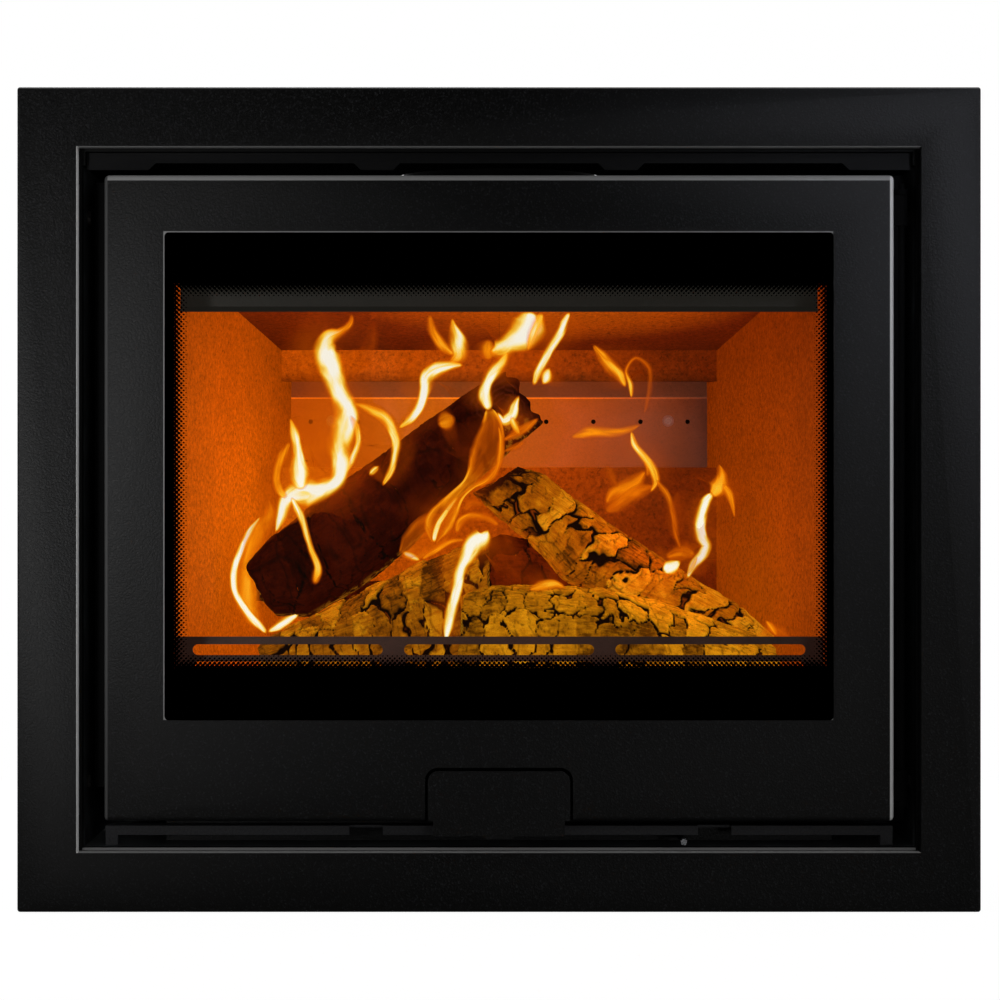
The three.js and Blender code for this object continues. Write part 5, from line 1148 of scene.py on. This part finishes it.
centreFlames = [
    {"line": [(489, 411, 5, 0.9, 0.9), (485, 396, 5, 1, 1), (487, 383, 4.5, 1, 1), (493, 371, 6, 0.9, 0.9),
              (503, 361, 5, 0.7, 0.8), (508, 350, 5, 0.6, 0.5)]},
    {"line": [(489, 352, 5, 0.6, 0.6), (496, 352, 8, 0.8, 0.7), (509, 343, 8, 0.9, 0.9),
              (521, 334, 11, 0.95, 1), (528, 324, 12, 1, 1), (531, 311, 13, 1, 1)], "pale": 0.35},
    {"line": [(487, 362, 5, 0.4, 0.4), (487, 350, 9, 0.5, 0.6), (489, 338, 6, 0.4, 0.4)]},
    {"line": [(527, 352, 3, 0.5, 0.5), (534, 336, 5, 0.7, 0.7), (542, 312, 6, 0.7, 0.7)], "pale": 0.3},
    {"line": [(489, 408, 5, 0.8, 0.8), (491, 422, 6, 0.42, 0.7), (489, 438, 9, 0.36, 0.6),
              (486, 456, 10, 0.34, 0.6), (480, 472, 8, 0.38, 0.65), (470, 483, 4, 0.6, 0.8),
              (457, 496, 4, 0.6, 0.8), (447, 510, 7, 0.5, 0.75), (438, 527, 8, 0.55, 0.75),
              (434, 545, 3, 0.5, 0.5)], "rim": 1.0},
    {"line": [(498, 425, 2, 0.4, 0.5), (501, 440, 2, 0.45, 0.6), (500, 456, 2, 0.45, 0.6),
              (495, 475, 2, 0.4, 0.5), (478, 488, 2, 0.4, 0.4)]},
    {"line": [(434, 543, 2.5, 0.9, 0.9), (437, 528, 2.5, 0.85, 0.9), (446, 512, 2.5, 0.8, 0.8),
              (458, 496, 2, 0.7, 0.7)]},
    {"line": [(400, 556, 5, 0.5, 0.5), (414, 545, 9, 0.4, 0.55), (432, 533, 11, 0.35, 0.5),
              (450, 518, 8, 0.3, 0.4)], "rim": 0.8},
    {"line": [(402, 552, 2.5, 0.9, 0.9), (411, 556, 3, 0.9, 0.9), (421, 561, 2, 0.7, 0.7)]},
    {"line": [(421, 560, 2, 0.6, 0.6), (436, 549, 3, 0.5, 0.6), (452, 541, 3, 0.4, 0.5),
              (466, 540, 3, 0.4, 0.4)]},
    {"line": [(500, 526, 3, 0.35, 0.5), (488, 518, 4, 0.3, 0.5), (474, 517, 4, 0.35, 0.55),
              (461, 523, 4, 0.45, 0.6), (456, 534, 4, 0.45, 0.5)]},
    {"line": [(485, 505, 4, 0.2, 0.4), (471, 503, 4, 0.25, 0.45), (463, 512, 4, 0.25, 0.4)]},
    {"line": [(445, 640, 3.5, 1, 1), (449, 621, 4, 1, 1), (455, 596, 4.5, 1, 1), (460, 573, 5, 1, 1),
              (467, 556, 6, 1, 1), (476, 543, 8, 1, 1), (485, 537, 7, 1, 1), (488, 529, 3, 0.8, 0.7)]},
    {"line": [(499, 528, 8, 0.2, 0.2), (505, 552, 12, 0.1, 0.16), (520, 571, 12, 0.1, 0.16),
              (545, 582, 8, 0.15, 0.2)]},
    {"line": [(528, 590, 2.5, 0.5, 0.6), (541, 586, 4, 0.6, 0.7), (554, 584, 3.5, 0.6, 0.7),
              (566, 588, 2.5, 0.4, 0.5)]},
    {"line": [(497, 412, 2.5, 0.8, 0.8), (504, 421, 4, 0.9, 0.9), (511, 416, 4, 1, 1), (514, 406, 3, 1, 1),
              (519, 395, 2, 0.7, 0.7)]},
    {"line": [(511, 416, 3, 0.9, 0.9), (515, 426, 3, 0.7, 0.8), (520, 436, 3, 0.6, 0.6)]},
    {"line": [(533, 386, 3, 0.7, 0.7), (539, 371, 3.5, 0.9, 0.9), (549, 350, 3.5, 0.95, 0.95),
              (560, 332, 4, 0.95, 0.9), (570, 312, 4, 0.8, 0.8)], "pale": 0.2},
    {"line": [(542, 385, 3, 0.7, 0.7), (546, 377, 5, 0.85, 0.9), (550, 367, 3, 0.7, 0.6)], "pale": 0.2},
    {"line": [(502, 441, 3, 0.2, 0.5), (518, 433, 4, 0.25, 0.55), (539, 418, 2, 0.3, 0.5)]},
    {"line": [(503, 452, 2, 0.2, 0.4), (515, 447, 2.5, 0.2, 0.5), (526, 441, 2, 0.2, 0.4)]},
]
rightFlames = [
    {"line": [(593, 344, 3, 0.5, 0.5), (603, 357, 4.5, 0.55, 0.65), (615, 371, 5, 0.6, 0.7),
              (626, 388, 3, 0.6, 0.6)]},
    {"line": [(632, 399, 2, 0.6, 0.6), (631, 385, 2.5, 0.7, 0.7), (626, 371, 2, 0.4, 0.5),
              (636, 358, 2, 0.35, 0.35), (648, 366, 2.5, 0.35, 0.35), (650, 385, 2.5, 0.3, 0.3),
              (644, 414, 2, 0.25, 0.25)]},
    {"line": [(570, 437, 3, 0.5, 0.5), (596, 432, 5, 0.5, 0.6), (620, 432, 4, 0.5, 0.55),
              (641, 424, 2, 0.4, 0.4)]},
    {"line": [(631, 430, 2, 0.6, 0.6), (634, 443, 3, 0.7, 0.8), (644, 457, 3.5, 0.7, 0.8),
              (654, 473, 3.5, 0.65, 0.8), (656, 482, 3, 0.6, 0.7), (650, 493, 2, 0.5, 0.6)]},
    {"line": [(645, 458, 2, 0.5, 0.6), (648, 470, 2, 0.45, 0.5), (647, 478, 2, 0.4, 0.4)]},
    {"line": [(606, 505, 5, 0.3, 0.5), (617, 492, 7, 0.35, 0.6), (632, 484, 7, 0.35, 0.6),
              (646, 470, 3, 0.35, 0.5)]},
    {"line": [(604, 512, 6, 0.25, 0.4), (622, 499, 9, 0.3, 0.55), (641, 491, 6, 0.3, 0.5),
              (655, 487, 4, 0.25, 0.4)]},
    {"line": [(607, 463, 4, 0.2, 0.25), (610, 478, 6, 0.2, 0.3), (618, 488, 4, 0.2, 0.25)]},
    {"line": [(656, 479, 2.5, 0.45, 0.5), (666, 496, 3, 0.4, 0.5), (673, 516, 3, 0.35, 0.45),
              (677, 538, 2.5, 0.3, 0.4), (681, 550, 2, 0.3, 0.3)]},
    {"line": [(676, 490, 5, 0.1, 0.2), (676, 515, 8, 0.12, 0.25), (674, 540, 6, 0.1, 0.2)]},
    {"line": [(663, 573, 4, 1, 0.9), (671, 568, 5.5, 1, 1), (681, 561, 3, 1, 0.9)]},
    {"line": [(665, 558, 5, 0.3, 0.45), (681, 552, 7, 0.35, 0.5), (696, 556, 5, 0.35, 0.5)]},
    {"line": [(687, 579, 2.5, 0.9, 0.9), (694, 564, 3.5, 1, 1), (704, 553, 4, 1, 1), (707, 546, 4, 1, 1),
              (702, 537, 5, 1, 1), (699, 527, 5, 1, 1), (701, 513, 5, 1, 1), (706, 502, 5, 1, 1),
              (713, 493, 5, 0.9, 1)]},
    {"line": [(688, 575, 2, 0.8, 0.8), (697, 556, 2, 0.8, 0.7)]},
    {"line": [(711, 497, 6, 0.6, 0.7), (719, 488, 8, 0.55, 0.85), (721, 477, 5, 0.5, 0.7),
              (718, 463, 2, 0.4, 0.4)]},
    {"line": [(722, 484, 5, 0.5, 0.6), (728, 492, 4, 0.5, 0.7), (732, 504, 2.5, 0.45, 0.55),
              (735, 519, 1.5, 0.35, 0.4)]},
    {"line": [(765, 619, 2, 0.35, 0.5), (772, 627, 3, 0.45, 0.6), (778, 637, 2, 0.4, 0.5)]},
    {"line": [(756, 640, 6, 0.2, 0.3), (775, 634, 8, 0.3, 0.35), (792, 640, 5, 0.2, 0.3)]},
]
flameRibbons("flames_left", leftFlames, 140, flameFinish)
flameRibbons("flames_centre", centreFlames, 92, flameFinish)
flameRibbons("flames_right", rightFlames, 112, flameFinish)
print("flames lit")


roomSettings = {"floorZ": -0.0433, "floorHalf": 0.95, "floorGlow": 1.14, "glowShare": 0.86,
                "ambient": 0.26, "mirrored": 0.01}


def paleFloor(settings):
    half, z = settings["floorHalf"], settings["floorZ"] - 0.0005
    mesh = bpy.data.meshes.new("floor")
    mesh.from_pydata([(-half, -half, z), (half, -half, z), (half, half, z), (-half, half, z)], [],
                     [(0, 1, 2, 3)])
    floor = bpy.data.objects.new("floor", mesh)
    scene.collection.objects.link(floor)
    material, tree = startMaterial("floor_pale_matt")
    path = add(tree, "ShaderNodeLightPath")
    seenStraight = path.outputs["Is Camera Ray"]
    pale = add(tree, "ShaderNodeBsdfDiffuse", {"Color": colour("#9a9a98")})
    white = add(tree, "ShaderNodeEmission", {"Color": (1, 1, 1, 1), "Strength": settings["floorGlow"]})
    lit = add(tree, "ShaderNodeMixShader", {
        0: add(tree, "times", seenStraight, settings["glowShare"]), 1: pale.outputs[0], 2: white.outputs[0]})
    closeMaterial(tree, lit.outputs[0])
    mesh.materials.append(material)


def whiteRoom(settings):
    # the camera sees a white room; the object is lit by a dim even one
    world = bpy.data.worlds.new("room")
    scene.world = world
    world.use_nodes = True
    tree = world.node_tree
    tree.nodes.clear()
    path = add(tree, "ShaderNodeLightPath")
    place = add(tree, "ShaderNodeTexCoord").outputs["Generated"]
    x, y, z = add(tree, "split", place).outputs
    behind = add(tree, "range", y, -0.1, 0.5, settings["mirrored"], 1.0)
    glossy = add(tree, "times", path.outputs["Is Glossy Ray"], behind)
    plain = add(tree, "times", add(tree, "minus", 1.0, path.outputs["Is Glossy Ray"]), settings["ambient"])
    level = add(tree, "plus", glossy, plain)
    straight = add(tree, "most", path.outputs["Is Camera Ray"], path.outputs["Is Transmission Ray"])
    level = add(tree, "most", level, straight)
    light = add(tree, "ShaderNodeBackground", {"Color": (1, 1, 1, 1), "Strength": level})
    add(tree, "ShaderNodeOutputWorld", {"Surface": light.outputs[0]})


def turnTo(lamp, place, aim):
    # puts a lamp at its place with its beam towards the aim
    direction = np.array(aim, float) - np.array(place, float)
    direction /= np.linalg.norm(direction)
    flat = math.hypot(direction[0], direction[1])
    lamp.location = place
    lamp.rotation_euler = (math.atan2(flat, -direction[2]), 0, math.atan2(-direction[0], direction[1]))


def makeLamp(name, kind, place, power, tint, **settings):
    data = bpy.data.lights.new(name, kind)
    data.energy = power
    data.color = colour(tint)[:3]
    for key, value in settings.items():
        setattr(data, key, value)
    lamp = bpy.data.objects.new(name, data)
    scene.collection.objects.link(lamp)
    lamp.location = place
    lamp.visible_camera = False
    return lamp


paleFloor(roomSettings)
whiteRoom(roomSettings)

softLamps = [      # name, place, aim, size, power: large soft lamps round the object
    ("lamp_left_side", (-2.2, -0.8, 0.4), (-0.2, -0.18, 0.25), (0.3, 1.4), 4),
    ("lamp_right_side", (2.2, -0.8, 0.4), (0.2, -0.18, 0.25), (0.3, 1.4), 7),
    ("lamp_above", (0.0, -0.2, 2.4), (0.0, 0.0, 0.25), (1.8, 1.0), 15),
    ("lamp_back", (-0.6, 2.4, 1.4), (0.0, 0.1, 0.3), (1.6, 1.4), 30),
]
for name, place, aim, size, power in softLamps:
    lamp = makeLamp(name, "AREA", place, power, "#ffffff", shape="RECTANGLE", size=size[0], size_y=size[1])
    turnTo(lamp, place, aim)

poolLamps = [      # name, place, aim, angle, power, tint: soft spots that each light one patch of the front
    ("lamp_pool_left", (-1.1, -2.4, 0.3), (-0.38, -0.187, 0.30), 17.5, 88, "#ffffff"),
    ("lamp_pool_right", (1.1, -2.4, 0.75), (0.48, -0.187, 0.55), 18.5, 84, "#eef2ff"),
    ("lamp_pool_middle", (0.7, -2.4, 0.1), (0.10, -0.187, 0.27), 26, 15, "#ffffff"),
]
for name, place, aim, angle, power, tint in poolLamps:
    lamp = makeLamp(name, "SPOT", place, power, tint, spot_size=math.radians(angle), spot_blend=1.0,
                    shadow_soft_size=0.15)
    turnTo(lamp, place, aim)

fireLamps = [      # name, place, power: the light of the flames on the bricks and logs around them
    ("fire_light_left", (-0.12, -0.04, 0.28), 0.8),
    ("fire_light_right", (0.13, -0.08, 0.24), 0.35),
]
for name, place, power in fireLamps:
    lamp = makeLamp(name, "POINT", place, power, "#ff8a1a", shadow_soft_size=0.03)
    lamp.visible_glossy = False
print("lights set")
